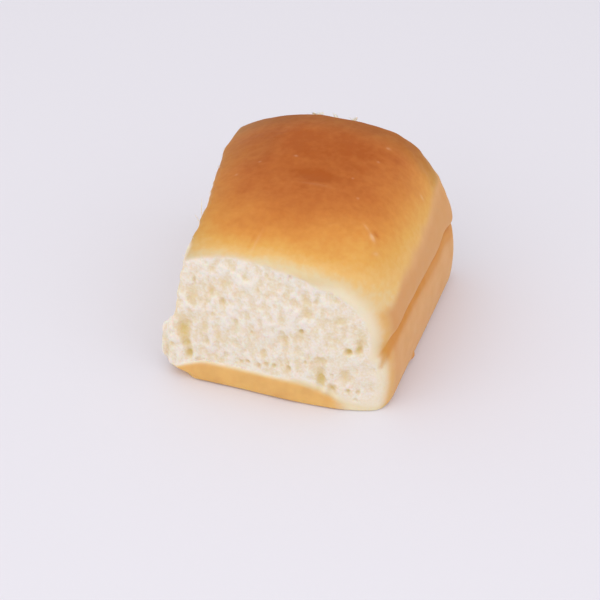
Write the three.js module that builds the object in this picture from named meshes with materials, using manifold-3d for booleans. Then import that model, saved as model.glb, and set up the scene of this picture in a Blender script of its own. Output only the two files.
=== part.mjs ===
// Soft white bread roll, pulled apart from a tray of touching rolls.
//
// Millimetres, +Z up. The domed top and the right side (+X) are baked crust, and a fold in the
// right side shows where two layers of dough met. The front (-Y), left (-X) and back (+Y) are
// torn crumb, and each of them keeps a low band of crust along its foot. The origin is under
// the middle of the roll, on the surface that it stands on.

import * as THREE from "three";
import { mergeVertices } from "three/addons/utils/BufferGeometryUtils.js";
import Module from "manifold-3d";

const wasm = await Module();
wasm.setup();

// ---- Overall size ----

const WIDTH = 66;
const DEPTH = 69.2;
const HEIGHT = 48.3;
const HALF_WIDTH = WIDTH / 2;
const HALF_DEPTH = DEPTH / 2;
const MARGIN = 3;

// ---- Baked crust ----

// The dome falls from its crown towards each side by these heights, and on the right more at the back.
const DOME = {
  crownX: 1.3,
  crownY: 0.5,
  dropLeft: 10.8,
  dropRight: 10,
  dropRightBack: 13.5,
  dropFront: 8.5,
  dropBack: 4.1,
  acrossPower: 2.3,
  alongPower: 3,
  slopeFactor: 0.92,
};

// The shoulder rounds the top into the right side, and is rounder towards the back.
const SHOULDER = { frontRadius: 13.5, backRadius: 17.5, startY: -5, length: 35 };

// The fold runs the whole depth of the right side, and drops away at both corners.
const FOLD = {
  height: 16.5,
  frontRise: 6.9,
  frontStart: 0.045,
  frontReach: 0.1,
  backDrop: 5,
  backStart: 0.76,
  backReach: 0.22,
  sag: 1.2,
  sagCentre: 0.66,
  sagReach: 0.12,
  lipInset: 0.7,
  lipReach: 3,
  frontDepth: 0,
  depth: 1.5,
  depthStart: 7.5,
  depthReach: 8,
  halfOpening: 0.75,
  openingPower: 1.5,
  stepSoftness: 0.35,
};

// The layer under the fold bulges, and the layer above it stands a little further in.
const RIGHT = {
  bulge: 1.3,
  bulgeHeight: 9.5,
  bulgeReach: 10.5,
  upperInset: 0.1,
  frontCorner: 7,
  frontReach: 5,
  lowerFrontInset: 1.6,
  upperFrontCorner: 13,
  upperFrontReach: 8,
  upperFrontInset: 1.8,
  backCorner: 9,
  lowerBackInset: 2.6,
  upperBackCorner: 7.5,
  upperBackInset: 4,
  foldInsetShare: 0.6,
  upperBackRise: 13,
};

// The foot of the roll: its front line across the width, and its rounded lower edges.
const FOOT = {
  frontInset: 0.15,
  frontSlope: 0.042,
  slopeStartX: -22,
  cornerStartX: 14,
  cornerReach: 18,
  cornerInset: 3,
  bellyX: 4,
  bellyReach: 14,
  belly: 0.65,
  leftProud: 0.7,
  frontRadius: 1.5,
  rightRadius: 2.6,
  backRadius: 3,
  leftRadius: 4,
  cornerRadius: 6.6,
  backRightRadius: 3,
  backLeftRadius: 5,
  cornerSlant: 1,
  cornerHeight: 6.4,
};

// ---- Torn faces ----

// Each face leans inwards by its lean over this height.
const TEAR_HEIGHT = 37;
const OVERRUN = 1.3;
const FRONT_TEAR = { inset: 0.7, lean: 1.2, leftLean: 1.9, leftStartX: 8, leftReach: 30 };
const BACK_TEAR = { inset: 0.9, lean: 1.5 };
const LEFT_TEAR = {
  frontX: -26.25,
  frontLean: 3.6,
  frontPower: 2.4,
  backX: -32.9,
  backLean: 1.45,
  blendReach: 0.92,
};

// The right end of the front face rolls round into the baked side, with more and more roundness.
const FRONT_CORNER = { leftRadius: 0.4, rightRadius: 4.4, startX: 5, reach: 16, proud: 0.1 };

// A knob of crumb that stands out from the left face, just behind the front.
const KNOB = { y: -30.2, z: 9, reach: 3.6, below: 9.5, above: 7.3, proud: 3.6, power: 4 };

// The band of crust left along each foot: its height, and the stretch over which it thins out.
const FRONT_BAND = { high: 6.3, low: 1, start: 7, reach: 20 };
const LEFT_BAND = { high: 4.6, low: 1, start: -26, reach: 18 };
const BACK_BAND = { high: 5.2, low: 2.2, start: 2, reach: 26 };

// Torn crumb is lumpy: each layer of lumps has a size across and a height.
const LUMPS = [
  { size: 9, height: 0.6 },
  { size: 3.4, height: 0.4 },
];
const LATTICE = { i: 127.1, j: 311.7, k: 74.7, gain: 43758.5453 };

// The larger holes of the front crumb, by place across, height, and size.
const FRONT_PORES = [
  { across: -22.1, up: 14.2, width: 3.8, height: 11, depth: 2.4 },
  { across: -19.8, up: 26.8, width: 4, height: 5.6, depth: 1.2 },
  { across: -14.9, up: 29.6, width: 1.8, height: 2.8, depth: 1.2 },
  { across: -11.6, up: 26.8, width: 1.8, height: 2.6, depth: 1.2 },
  { across: 5.4, up: 19.6, width: 2.3, height: 2.7, depth: 1.1 },
  { across: 19.5, up: 28.6, width: 3.2, height: 2.8, depth: 1 },
  { across: 14.7, up: 14.9, width: 3.6, height: 2.8, depth: 1.1 },
  { across: 22, up: 18.9, width: 1.7, height: 1.9, depth: 1.8 },
  { across: 24.6, up: 20.4, width: 1.7, height: 4.2, depth: 1.4 },
  { across: 21.4, up: 11.2, width: 2.6, height: 4.6, depth: 1.4 },
  { across: 15.1, up: 7.2, width: 2.2, height: 3.4, depth: 1.6 },
  { across: 18.3, up: 5.8, width: 2, height: 3.4, depth: 1.7 },
];
const SIDE_PORES = {
  count: 12,
  reach: 26,
  lowest: 9,
  highest: 35,
  smallest: 2,
  largest: 4.4,
  stretch: 1.35,
  depthShare: 0.55,
};
const LEFT_PORE_SEED = 11;
const BACK_PORE_SEED = 29;
const PORE_SINK = 0.25;
const PORE_SIDES = 8;
const PORE_RINGS = 6;

// ---- Fineness of the surfaces ----

const HEART = new THREE.Vector3(0, 0, 22);
const LOAF_COLUMNS = 17;
const LOAF_STATIONS = 19;
const LOWER_ROWS = 7;
const FOLD_ROWS = 4;
const UPPER_ROWS = 11;
const LOAF_ROWS = LOWER_ROWS + FOLD_ROWS + UPPER_ROWS;
const FOLD_ROW_REACH = 1.1;
const CRUST_SEARCH_STEPS = 40;
const FLOOR_SNAP = 0.001;
const FRONT_FACETS = { across: 38, up: 28 };
const LEFT_FACETS = { across: 38, up: 24 };
const BACK_FACETS = { across: 36, up: 24 };

const CRUST_COLOUR = "#c8813f";

// ---- Shaping functions ----

const { lerp, clamp } = THREE.MathUtils;

const smooth = (t) => THREE.MathUtils.smoothstep(t, 0, 1);

// Meeting of two surfaces with a fillet of the given radius.
function filletedMax(a, b, radius) {
  const flat = Math.min(Math.max(a, b), -radius);
  return flat + Math.hypot(Math.max(a + radius, 0), Math.max(b + radius, 0));
}

function latticeValue(i, j, k) {
  const wave = Math.sin(i * LATTICE.i + j * LATTICE.j + k * LATTICE.k) * LATTICE.gain;
  return wave - Math.floor(wave);
}

// Smooth repeatable noise from -1 to 1.
function noise(x, y, z) {
  const [i, j, k] = [Math.floor(x), Math.floor(y), Math.floor(z)];
  const [u, v, w] = [smooth(x - i), smooth(y - j), smooth(z - k)];
  const edge = (dj, dk) => lerp(latticeValue(i, j + dj, k + dk), latticeValue(i + 1, j + dj, k + dk), u);
  const low = lerp(edge(0, 0), edge(1, 0), v);
  const high = lerp(edge(0, 1), edge(1, 1), v);
  return 2 * lerp(low, high, w) - 1;
}

// ---- Crust ----

// Share of the way from the front of the shoulder to its back.
const shoulderShare = (y) => smooth((y - SHOULDER.startY) / SHOULDER.length);

function domeHeight(x, y) {
  const across = (x - DOME.crownX) / HALF_WIDTH;
  const along = (y - DOME.crownY) / HALF_DEPTH;
  const dropRight = lerp(DOME.dropRight, DOME.dropRightBack, shoulderShare(y));
  const sideDrop = across < 0 ? DOME.dropLeft : dropRight;
  const endDrop = along < 0 ? DOME.dropFront : DOME.dropBack;
  const fall = sideDrop * Math.abs(across) ** DOME.acrossPower;
  return HEIGHT - fall - endDrop * Math.abs(along) ** DOME.alongPower;
}

function foldHeight(y) {
  const t = (y + HALF_DEPTH) / DEPTH;
  const front = FOLD.frontRise * smooth((t - FOLD.frontStart) / FOLD.frontReach);
  const back = FOLD.backDrop * smooth((t - FOLD.backStart) / FOLD.backReach);
  const sag = FOLD.sag * Math.exp(-(((t - FOLD.sagCentre) / FOLD.sagReach) ** 2));
  return FOLD.height + front - back - sag;
}

// Share of a corner at the front, from 0 where it starts to 1 where it has turned in fully.
const nearFront = (y, corner, reach) => clamp((corner - HALF_DEPTH - y) / reach, 0, 1) ** 2;

// Share of a corner at the back, from 0 where it starts to 1 at the very back.
const nearBack = (y, corner) => clamp((y - HALF_DEPTH + corner) / corner, 0, 1) ** 2;

function rightSide(y, z) {
  const aboveFold = z - foldHeight(y);
  const lowerFront = RIGHT.lowerFrontInset * nearFront(y, RIGHT.frontCorner, RIGHT.frontReach);
  const upperFront = RIGHT.upperFrontInset * nearFront(y, RIGHT.upperFrontCorner, RIGHT.upperFrontReach);
  const bulge = RIGHT.bulge * ((z - RIGHT.bulgeHeight) / RIGHT.bulgeReach) ** 2;
  const lowerBack = RIGHT.lowerBackInset * nearBack(y, RIGHT.backCorner);
  const lower = HALF_WIDTH - bulge - lowerFront - lowerBack;
  const insetShare = lerp(RIGHT.foldInsetShare, 1, smooth(aboveFold / RIGHT.upperBackRise));
  const upperBack = RIGHT.upperBackInset * insetShare * nearBack(y, RIGHT.upperBackCorner);
  const lip = FOLD.lipInset * Math.exp(-Math.max(aboveFold, 0) / FOLD.lipReach);
  const upper = HALF_WIDTH - RIGHT.upperInset - lip - upperFront - upperBack;
  const step = 1 / (1 + Math.exp(-aboveFold / FOLD.stepSoftness));
  const depthShare = smooth((y + HALF_DEPTH - FOLD.depthStart) / FOLD.depthReach);
  const depth = lerp(FOLD.frontDepth, FOLD.depth, depthShare);
  const groove = depth * Math.exp(-(Math.abs(aboveFold / FOLD.halfOpening) ** FOLD.openingPower));
  return lerp(lower, upper, step) - groove;
}

function footFront(x) {
  const slope = FOOT.frontSlope * (x - FOOT.slopeStartX);
  const corner = FOOT.cornerInset * clamp((x - FOOT.cornerStartX) / FOOT.cornerReach, 0, OVERRUN) ** 2;
  const belly = FOOT.belly * Math.exp(-(((x - FOOT.bellyX) / FOOT.bellyReach) ** 2));
  return FOOT.frontInset - HALF_DEPTH + slope + corner - belly;
}

// Share of the tear's height, carried on a little above it.
const tearShare = (z) => clamp(z / TEAR_HEIGHT, 0, OVERRUN);

function knob(y, z) {
  const along = Math.abs((y - KNOB.y) / KNOB.reach) ** 2;
  const up = Math.abs((z - KNOB.z) / (z < KNOB.z ? KNOB.below : KNOB.above)) ** KNOB.power;
  return KNOB.proud * Math.exp(-along - up);
}

// The left face without its knob.
function leftBase(y, z) {
  const up = tearShare(z);
  const front = LEFT_TEAR.frontX + LEFT_TEAR.frontLean * up ** LEFT_TEAR.frontPower;
  const back = LEFT_TEAR.backX + LEFT_TEAR.backLean * up;
  return lerp(front, back, smooth(((y + HALF_DEPTH) / DEPTH) * LEFT_TEAR.blendReach));
}

const leftFace = (y, z) => leftBase(y, z) - knob(y, z);

function frontFace(x, z) {
  const leftward = smooth((FRONT_TEAR.leftStartX - x) / FRONT_TEAR.leftReach);
  const lean = FRONT_TEAR.lean + FRONT_TEAR.leftLean * leftward;
  return footFront(x) + FRONT_TEAR.inset + lean * tearShare(z) ** 2;
}

// Below zero inside the untorn roll, zero on its crust, and above zero outside.
function crust(x, y, z) {
  const shoulder = lerp(SHOULDER.frontRadius, SHOULDER.backRadius, shoulderShare(y));
  const top = (z - domeHeight(x, y)) * DOME.slopeFactor;
  const right = x - rightSide(y, z);
  const front = footFront(x) - y;
  const back = y - HALF_DEPTH;
  const left = leftBase(y, 0) - knob(y, z) - FOOT.leftProud - x;
  const lowness = clamp(1 - z / FOOT.cornerHeight, 0, 1);
  const cornerRadius = FOOT.cornerRadius * Math.sqrt(lowness);
  const baked = filletedMax(top, right, shoulder);
  const rightward = smooth((x - FRONT_CORNER.startX) / FRONT_CORNER.reach);
  const frontRadius = lerp(FRONT_CORNER.leftRadius, FRONT_CORNER.rightRadius, rightward);
  const frontLimit = lerp(footFront(x), frontFace(x, z) - FRONT_CORNER.proud, rightward);
  return Math.max(
    baked,
    filletedMax(baked, frontLimit - y, frontRadius),
    filletedMax(-z, right, FOOT.rightRadius),
    filletedMax(-z, front, FOOT.frontRadius),
    filletedMax(-z, back, FOOT.backRadius),
    filletedMax(-z, left, FOOT.leftRadius),
    filletedMax(front, left + FOOT.cornerSlant * lowness, cornerRadius),
    filletedMax(back, right, FOOT.backRightRadius),
    filletedMax(back, left, FOOT.backLeftRadius),
  );
}

// ---- Crumb ----

function backFace(x, z) {
  return HALF_DEPTH - BACK_TEAR.inset - BACK_TEAR.lean * tearShare(z) ** 2;
}

function bandHeight(band, place) {
  return lerp(band.high, band.low, smooth((place - band.start) / band.reach));
}

function crumbRelief(x, y, z) {
  const heights = LUMPS.map(({ size, height }) => height * noise(x / size, y / size, z / size));
  return heights.reduce((sum, height) => sum + height, 0);
}

// ---- Solids ----

// A closed box grid, each of whose points is moved by place(point) from a unit cube.
function mouldedBox(columns, stations, rows, place) {
  const box = new THREE.BoxGeometry(1, 1, 1, columns, stations, rows);
  box.deleteAttribute("normal");
  box.deleteAttribute("uv");
  const geometry = mergeVertices(box);
  const position = geometry.attributes.position;
  const point = new THREE.Vector3();
  for (let index = 0; index < position.count; index += 1) {
    point.fromBufferAttribute(position, index).addScalar(0.5);
    place(point);
    position.setXYZ(index, point.x, point.y, point.z);
  }
  return geometry;
}

function toSolid(geometry) {
  return new wasm.Manifold(new wasm.Mesh({
    numProp: 3,
    vertProperties: new Float32Array(geometry.attributes.position.array),
    triVerts: new Uint32Array(geometry.index.array),
  }));
}

function toGeometry(solid) {
  const { vertProperties, triVerts } = solid.getMesh();
  const geometry = new THREE.BufferGeometry();
  geometry.setAttribute("position", new THREE.BufferAttribute(vertProperties, 3));
  geometry.setIndex(new THREE.BufferAttribute(triVerts, 1));
  return geometry;
}

// Rows crowd together at the floor and at the fold, where the side bends most.
function rowHeight(share, y) {
  const row = share * LOAF_ROWS;
  const fold = foldHeight(y);
  if (row <= LOWER_ROWS) {
    return (fold - FOLD_ROW_REACH) * (1 - Math.cos(Math.PI * row / LOWER_ROWS)) / 2;
  }
  if (row <= LOWER_ROWS + FOLD_ROWS) {
    return fold + FOLD_ROW_REACH * (2 * (row - LOWER_ROWS) / FOLD_ROWS - 1);
  }
  const upper = (row - LOWER_ROWS - FOLD_ROWS) / UPPER_ROWS;
  return lerp(fold + FOLD_ROW_REACH, HEIGHT + MARGIN, 1 - Math.cos(Math.PI / 2 * upper));
}

// Moves a point outside the crust along the line to the heart of the roll until it meets the crust.
function pullToCrust(point) {
  const outside = point.clone();
  const inside = HEART.clone();
  for (let step = 0; step < CRUST_SEARCH_STEPS; step += 1) {
    point.lerpVectors(inside, outside, 0.5);
    if (crust(point.x, point.y, point.z) > 0) {
      outside.copy(point);
    } else {
      inside.copy(point);
    }
  }
  if (point.z < FLOOR_SNAP) {
    point.z = 0;
  }
}

function untornRoll() {
  return mouldedBox(LOAF_COLUMNS, LOAF_STATIONS, LOAF_ROWS, (point) => {
    const y = lerp(-HALF_DEPTH - MARGIN, HALF_DEPTH + MARGIN, point.y);
    const x = lerp(-HALF_WIDTH - MARGIN, HALF_WIDTH + MARGIN, point.x);
    point.set(x, y, rowHeight(point.z, y) - FLOOR_SNAP);
    pullToCrust(point);
  });
}

function frontTear() {
  return mouldedBox(FRONT_FACETS.across, 1, FRONT_FACETS.up, (point) => {
    const x = lerp(-HALF_WIDTH - MARGIN, HALF_WIDTH + MARGIN, point.x);
    const z = lerp(bandHeight(FRONT_BAND, x), HEIGHT + MARGIN, point.z);
    const face = frontFace(x, z);
    const torn = face + crumbRelief(x, face, z);
    point.set(x, lerp(-HALF_DEPTH - MARGIN, torn, point.y), z);
  });
}

function backTear() {
  return mouldedBox(BACK_FACETS.across, 1, BACK_FACETS.up, (point) => {
    const x = lerp(-HALF_WIDTH - MARGIN, HALF_WIDTH + MARGIN, point.x);
    const z = lerp(bandHeight(BACK_BAND, x), HEIGHT + MARGIN, point.z);
    const face = backFace(x, z);
    const torn = face + crumbRelief(x, face, z);
    point.set(x, lerp(torn, HALF_DEPTH + MARGIN, point.y), z);
  });
}

function leftTear() {
  return mouldedBox(1, LEFT_FACETS.across, LEFT_FACETS.up, (point) => {
    const y = lerp(-HALF_DEPTH - MARGIN, HALF_DEPTH + MARGIN, point.y);
    const z = lerp(bandHeight(LEFT_BAND, -y), HEIGHT + MARGIN, point.z);
    const face = leftFace(y, z);
    const torn = face + crumbRelief(face, y, z);
    point.set(lerp(-HALF_WIDTH - MARGIN, torn, point.x), y, z);
  });
}

// An egg-shaped hole, sunk a little below the face so that its mouth is narrower than its middle.
function pore(centre, radii) {
  const geometry = new THREE.SphereGeometry(1, PORE_SIDES, PORE_RINGS);
  geometry.deleteAttribute("normal");
  geometry.deleteAttribute("uv");
  geometry.scale(radii.x, radii.y, radii.z);
  geometry.translate(centre.x, centre.y, centre.z);
  return mergeVertices(geometry);
}

function frontPores() {
  return FRONT_PORES.map(({ across, up, width, height, depth }) => {
    const y = frontFace(across, up) + depth * PORE_SINK;
    return pore(new THREE.Vector3(across, y, up), new THREE.Vector3(width / 2, depth, height / 2));
  });
}

// Places and sizes of the pores of a hidden face, drawn from its own seed.
function drawnPores(seed) {
  return Array.from({ length: SIDE_PORES.count }, (_, index) => {
    const draw = (kind) => latticeValue(seed, index, kind);
    const [acrossDraw, upDraw, sizeDraw] = [draw(0), draw(1), draw(2)];
    const size = lerp(SIDE_PORES.smallest, SIDE_PORES.largest, sizeDraw ** 2);
    return {
      across: lerp(-SIDE_PORES.reach, SIDE_PORES.reach, acrossDraw),
      up: lerp(SIDE_PORES.lowest, SIDE_PORES.highest, upDraw),
      width: size,
      height: size * SIDE_PORES.stretch,
      depth: size * SIDE_PORES.depthShare,
    };
  });
}

function backPores() {
  return drawnPores(BACK_PORE_SEED).map(({ across, up, width, height, depth }) => {
    const y = backFace(across, up) - depth * PORE_SINK;
    return pore(new THREE.Vector3(across, y, up), new THREE.Vector3(width / 2, depth, height / 2));
  });
}

function leftPores() {
  return drawnPores(LEFT_PORE_SEED).map(({ across, up, width, height, depth }) => {
    const x = leftFace(across, up) + depth * PORE_SINK;
    return pore(new THREE.Vector3(x, across, up), new THREE.Vector3(depth, width / 2, height / 2));
  });
}

function breadRoll() {
  const cutters = [frontTear(), leftTear(), backTear(), ...frontPores(), ...leftPores(), ...backPores()];
  const torn = cutters.reduce((solid, cutter) => solid.subtract(toSolid(cutter)), toSolid(untornRoll()));
  const geometry = toGeometry(torn);
  geometry.computeBoundingBox();
  const middle = geometry.boundingBox.getCenter(new THREE.Vector3());
  geometry.translate(-middle.x, -middle.y, -geometry.boundingBox.min.z);
  const material = new THREE.MeshStandardMaterial({ color: CRUST_COLOUR, roughness: 0.6, metalness: 0 });
  const mesh = new THREE.Mesh(geometry, material);
  mesh.name = "bread_roll";
  return mesh;
}

const roll = new THREE.Group();
roll.add(breadRoll());

export default roll;
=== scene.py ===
import math
from collections import namedtuple
from itertools import product

import bpy
import numpy as np
from mathutils import Matrix, Vector


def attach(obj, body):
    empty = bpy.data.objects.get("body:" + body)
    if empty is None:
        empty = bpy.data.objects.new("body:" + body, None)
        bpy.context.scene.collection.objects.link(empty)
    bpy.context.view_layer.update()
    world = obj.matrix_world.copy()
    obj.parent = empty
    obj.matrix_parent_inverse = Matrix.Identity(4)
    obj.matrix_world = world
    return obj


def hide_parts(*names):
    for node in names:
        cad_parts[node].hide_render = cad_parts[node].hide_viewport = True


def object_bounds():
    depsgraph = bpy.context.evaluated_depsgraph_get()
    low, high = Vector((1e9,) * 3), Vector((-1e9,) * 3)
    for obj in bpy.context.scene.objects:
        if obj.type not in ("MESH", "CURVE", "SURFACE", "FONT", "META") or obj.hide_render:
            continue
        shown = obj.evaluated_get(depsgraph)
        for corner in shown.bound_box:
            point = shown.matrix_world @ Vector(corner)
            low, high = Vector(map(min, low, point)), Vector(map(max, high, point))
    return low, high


bl_info = {
    "name": "Pull-apart bread roll",
    "version": (1, 0, 0),
    "blender": (4, 5, 0),
    "location": "View3D > Sidebar > Bread",
    "description": "Models a soft white pull-apart roll: baked crust, torn crumb and loose shreds",
    "category": "Object",
}

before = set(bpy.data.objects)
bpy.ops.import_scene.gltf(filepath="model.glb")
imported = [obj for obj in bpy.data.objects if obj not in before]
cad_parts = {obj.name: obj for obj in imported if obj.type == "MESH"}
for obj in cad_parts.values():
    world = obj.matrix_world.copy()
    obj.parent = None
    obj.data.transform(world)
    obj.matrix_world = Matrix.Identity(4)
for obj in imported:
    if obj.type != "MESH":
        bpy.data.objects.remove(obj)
CAD_LOW, CAD_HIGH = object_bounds()

NODE = "bread_roll"
BODY = "root"
MM = 0.001

# ---------------------------------------------------------------------------
# Shares and noise
# ---------------------------------------------------------------------------

LATTICE = (127.1, 311.7, 74.7)
LATTICE_GAIN = 43758.5453


def smooth(t):
    """Eased share from 0 to 1."""
    t = np.clip(t, 0, 1)
    return t * t * (3 - 2 * t)


def mix(a, b, t):
    """Value the share t of the way from a to b."""
    return a + (b - a) * t


class Fade(namedtuple("Fade", "start reach")):
    """Eased share, 0 at its start and 1 a reach further on. A reach below 0 runs downwards."""

    def __call__(self, value):
        return smooth((value - self.start) / self.reach)


class Hill(namedtuple("Hill", "centre reach")):
    """Share that is 1 at its centre and falls away on both sides."""

    def __call__(self, value):
        return np.exp(-(((value - self.centre) / self.reach) ** 2))


def within(fades, *place):
    """Product of one fade for each coordinate of a place."""
    share = 1
    for fade, value in zip(fades, place):
        share = share * fade(value)
    return share


def lattice_value(i, j, k):
    """Repeatable value from 0 to 1 for a corner of the noise lattice."""
    wave = np.sin(i * LATTICE[0] + j * LATTICE[1] + k * LATTICE[2]) * LATTICE_GAIN
    return wave - np.floor(wave)


def noise(x, y, z):
    """Smooth repeatable noise from -1 to 1."""
    x, y, z = np.broadcast_arrays(*(np.asarray(c, float) for c in (x, y, z)))
    i, j, k = np.floor(x), np.floor(y), np.floor(z)
    u, v, w = smooth(x - i), smooth(y - j), smooth(z - k)
    total = np.zeros(x.shape)
    for a, b, c in product((0, 1), repeat=3):
        weight = (u if a else 1 - u) * (v if b else 1 - v) * (w if c else 1 - w)
        total += weight * lattice_value(i + a, j + b, k + c)
    return 2 * total - 1


class Lump(namedtuple("Lump", "size height")):
    """Smooth bumps of one size and height."""

    def wave(self, x, y, z, share=1):
        return share * self.height * noise(x / self.size, y / self.size, z / self.size)


def filleted_max(a, b, radius):
    """Meeting of two signed forms with a fillet of the given radius."""
    corner = np.hypot(np.maximum(a + radius, 0), np.maximum(b + radius, 0))
    return np.minimum(np.maximum(a, b), -radius) + corner


# ---------------------------------------------------------------------------
# Form of the roll, in millimetres. -Y is the torn front, +X the baked side.
# ---------------------------------------------------------------------------

# The dome: its crown, how far it falls to each side, and its rounding into the baked side.
CROWN_X, CROWN_Y = 1.3, 0.5
DROP_LEFT, DROP_RIGHT, DROP_RIGHT_BACK, DROP_FRONT, DROP_BACK = 10.8, 10.0, 14.0, 8.5, 3.6
ACROSS_POWER, ALONG_POWER = 2.3, 3.0
DOME_SLOPE_FACTOR = 0.92
SHOULDER_FRONT_RADIUS, SHOULDER_BACK_RADIUS = 13.5, 17.5
SHOULDER_BACKWARD = Fade(-5.0, 35.0)

# The fold. Where it rises, drops and sags is given in shares of the roll's depth.
FOLD_FRONT_RISE, FOLD_FRONT = 6.9, Fade(0.045, 0.1)
FOLD_BACK_DROP, FOLD_BACK = 3.8, Fade(0.76, 0.22)
FOLD_SAG, FOLD_SAG_PLACE = 1.2, Hill(0.66, 0.12)
FOLD_LIP_INSET, FOLD_LIP_REACH = 0.7, 3.0
FOLD_DEPTH, FOLD_DEEPENING = 1.5, Fade(7.5, 8.0)
FOLD_HALF_OPENING, FOLD_OPENING_POWER = 0.75, 1.5
FOLD_STEP, FOLD_STEP_LIMIT = 0.35, 30

# The baked side, below and above the fold, and how it draws in at its two corners.
SIDE_BULGE, SIDE_BULGE_HEIGHT, SIDE_BULGE_REACH = 1.3, 9.5, 10.5
SIDE_UPPER_INSET = 0.1
SIDE_LOWER_FRONT_CORNER, SIDE_LOWER_FRONT_REACH, SIDE_LOWER_FRONT_INSET = 7.0, 5.0, 1.6
SIDE_UPPER_FRONT_CORNER, SIDE_UPPER_FRONT_REACH, SIDE_UPPER_FRONT_INSET = 13.0, 8.0, 1.8
SIDE_BACK_CORNER, SIDE_LOWER_BACK_INSET = 9.0, 2.6
SIDE_UPPER_BACK_CORNER, SIDE_UPPER_BACK_INSET = 7.5, 4.0
SIDE_FOLD_INSET_SHARE, SIDE_UPPER_BACK_RISE = 0.6, Fade(0.0, 13.0)

# The foot: the slant and belly of its front, and the rounding of its edges and corners.
FOOT_INSET, FOOT_SLOPE, FOOT_SLOPE_START = 0.15, 0.042, -22.0
FOOT_CORNER_START, FOOT_CORNER_REACH, FOOT_CORNER_INSET = 18.0, 15.0, 3.0
FOOT_BELLY, FOOT_BELLY_PLACE = 0.9, Hill(9.0, 14.0)
FOOT_LEFT_PROUD = 0.7
FOOT_FRONT_RADIUS, FOOT_RIGHT_RADIUS, FOOT_BACK_RADIUS, FOOT_LEFT_RADIUS = 1.5, 2.6, 3.0, 4.0
FOOT_CORNER_RADIUS, FOOT_CORNER_SLANT, FOOT_CORNER_HEIGHT = 9.5, 1.6, 6.4
FOOT_BACK_RIGHT_RADIUS, FOOT_BACK_LEFT_RADIUS = 3.0, 5.0

# The torn faces: they lean with the height, up to this one and a little past it.
TEAR_HEIGHT, OVERRUN = 37.0, 1.3
FRONT_INSET, FRONT_LEAN = 0.7, 1.2
FRONT_LEFT_LEAN, FRONT_LEFTWARD = 1.9, Fade(8.0, -30.0)
BACK_INSET, BACK_LEAN = 0.9, 1.5
LEFT_FRONT_X, LEFT_FRONT_LEAN, LEFT_FRONT_POWER = -26.25, 3.6, 2.4
LEFT_BACK_X, LEFT_BACK_LEAN, LEFT_BLEND = -32.9, 1.45, 0.92
LEFT_RECESS = 0.8
RECESS_INWARD, RECESS_UPWARD, RECESS_BACKWARD = Fade(0.0, -1.6), Fade(24.0, 8.0), Fade(0.0, 15.0)
LEDGE_SLOPE = 0.7

# The smooth skin that rolls round the right front corner, over the tear.
CORNER_RADIUS, CORNER_SKIN = 4.4, 3.0
CORNER_RIGHTWARD, CORNER_FORWARD = Fade(5.0, 16.0), Fade(-8.0, -8.0)

# The knob of crumb at the left front foot, and the small nub low on the baked side.
KNOB_Y, KNOB_Z, KNOB_REACH, KNOB_BELOW, KNOB_ABOVE = -30.2, 9.0, 3.6, 6.3, 7.3
KNOB_PROUD, KNOB_POWER, KNOB_LOW_POWER = 3.7, 4.0, 7.0
KNOB_SETBACK, KNOB_SETBACK_LEFTWARD = 1.4, Fade(LEFT_FRONT_X, -1.4)
NUB_Y, NUB_Z, NUB_HALF_LENGTH, NUB_HALF_HEIGHT, NUB_PROUD = -8.3, 2.5, 0.9, 1.4, 0.6

# Bands of crust along the feet of the torn faces, and how the crumb above them stands out.
Band = namedtuple("Band", "high low lowering")
FRONT_BAND = Band(7.4, 1.0, Fade(7.8, 20.0))
FRONT_BAND_END_DROP, FRONT_BAND_END = 4.4, Fade(-15.5, -13.0)
LEFT_BAND = Band(4.6, 1.0, Fade(-26.0, 18.0))
BACK_BAND = Band(5.2, 2.2, Fade(2.0, 26.0))
CRUMB_PROUD, CRUMB_PROUD_RISE = 3.0, 3.0

# Lumps of the torn faces.
LUMPS = (Lump(9.0, 0.6), Lump(3.4, 0.25))

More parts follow.
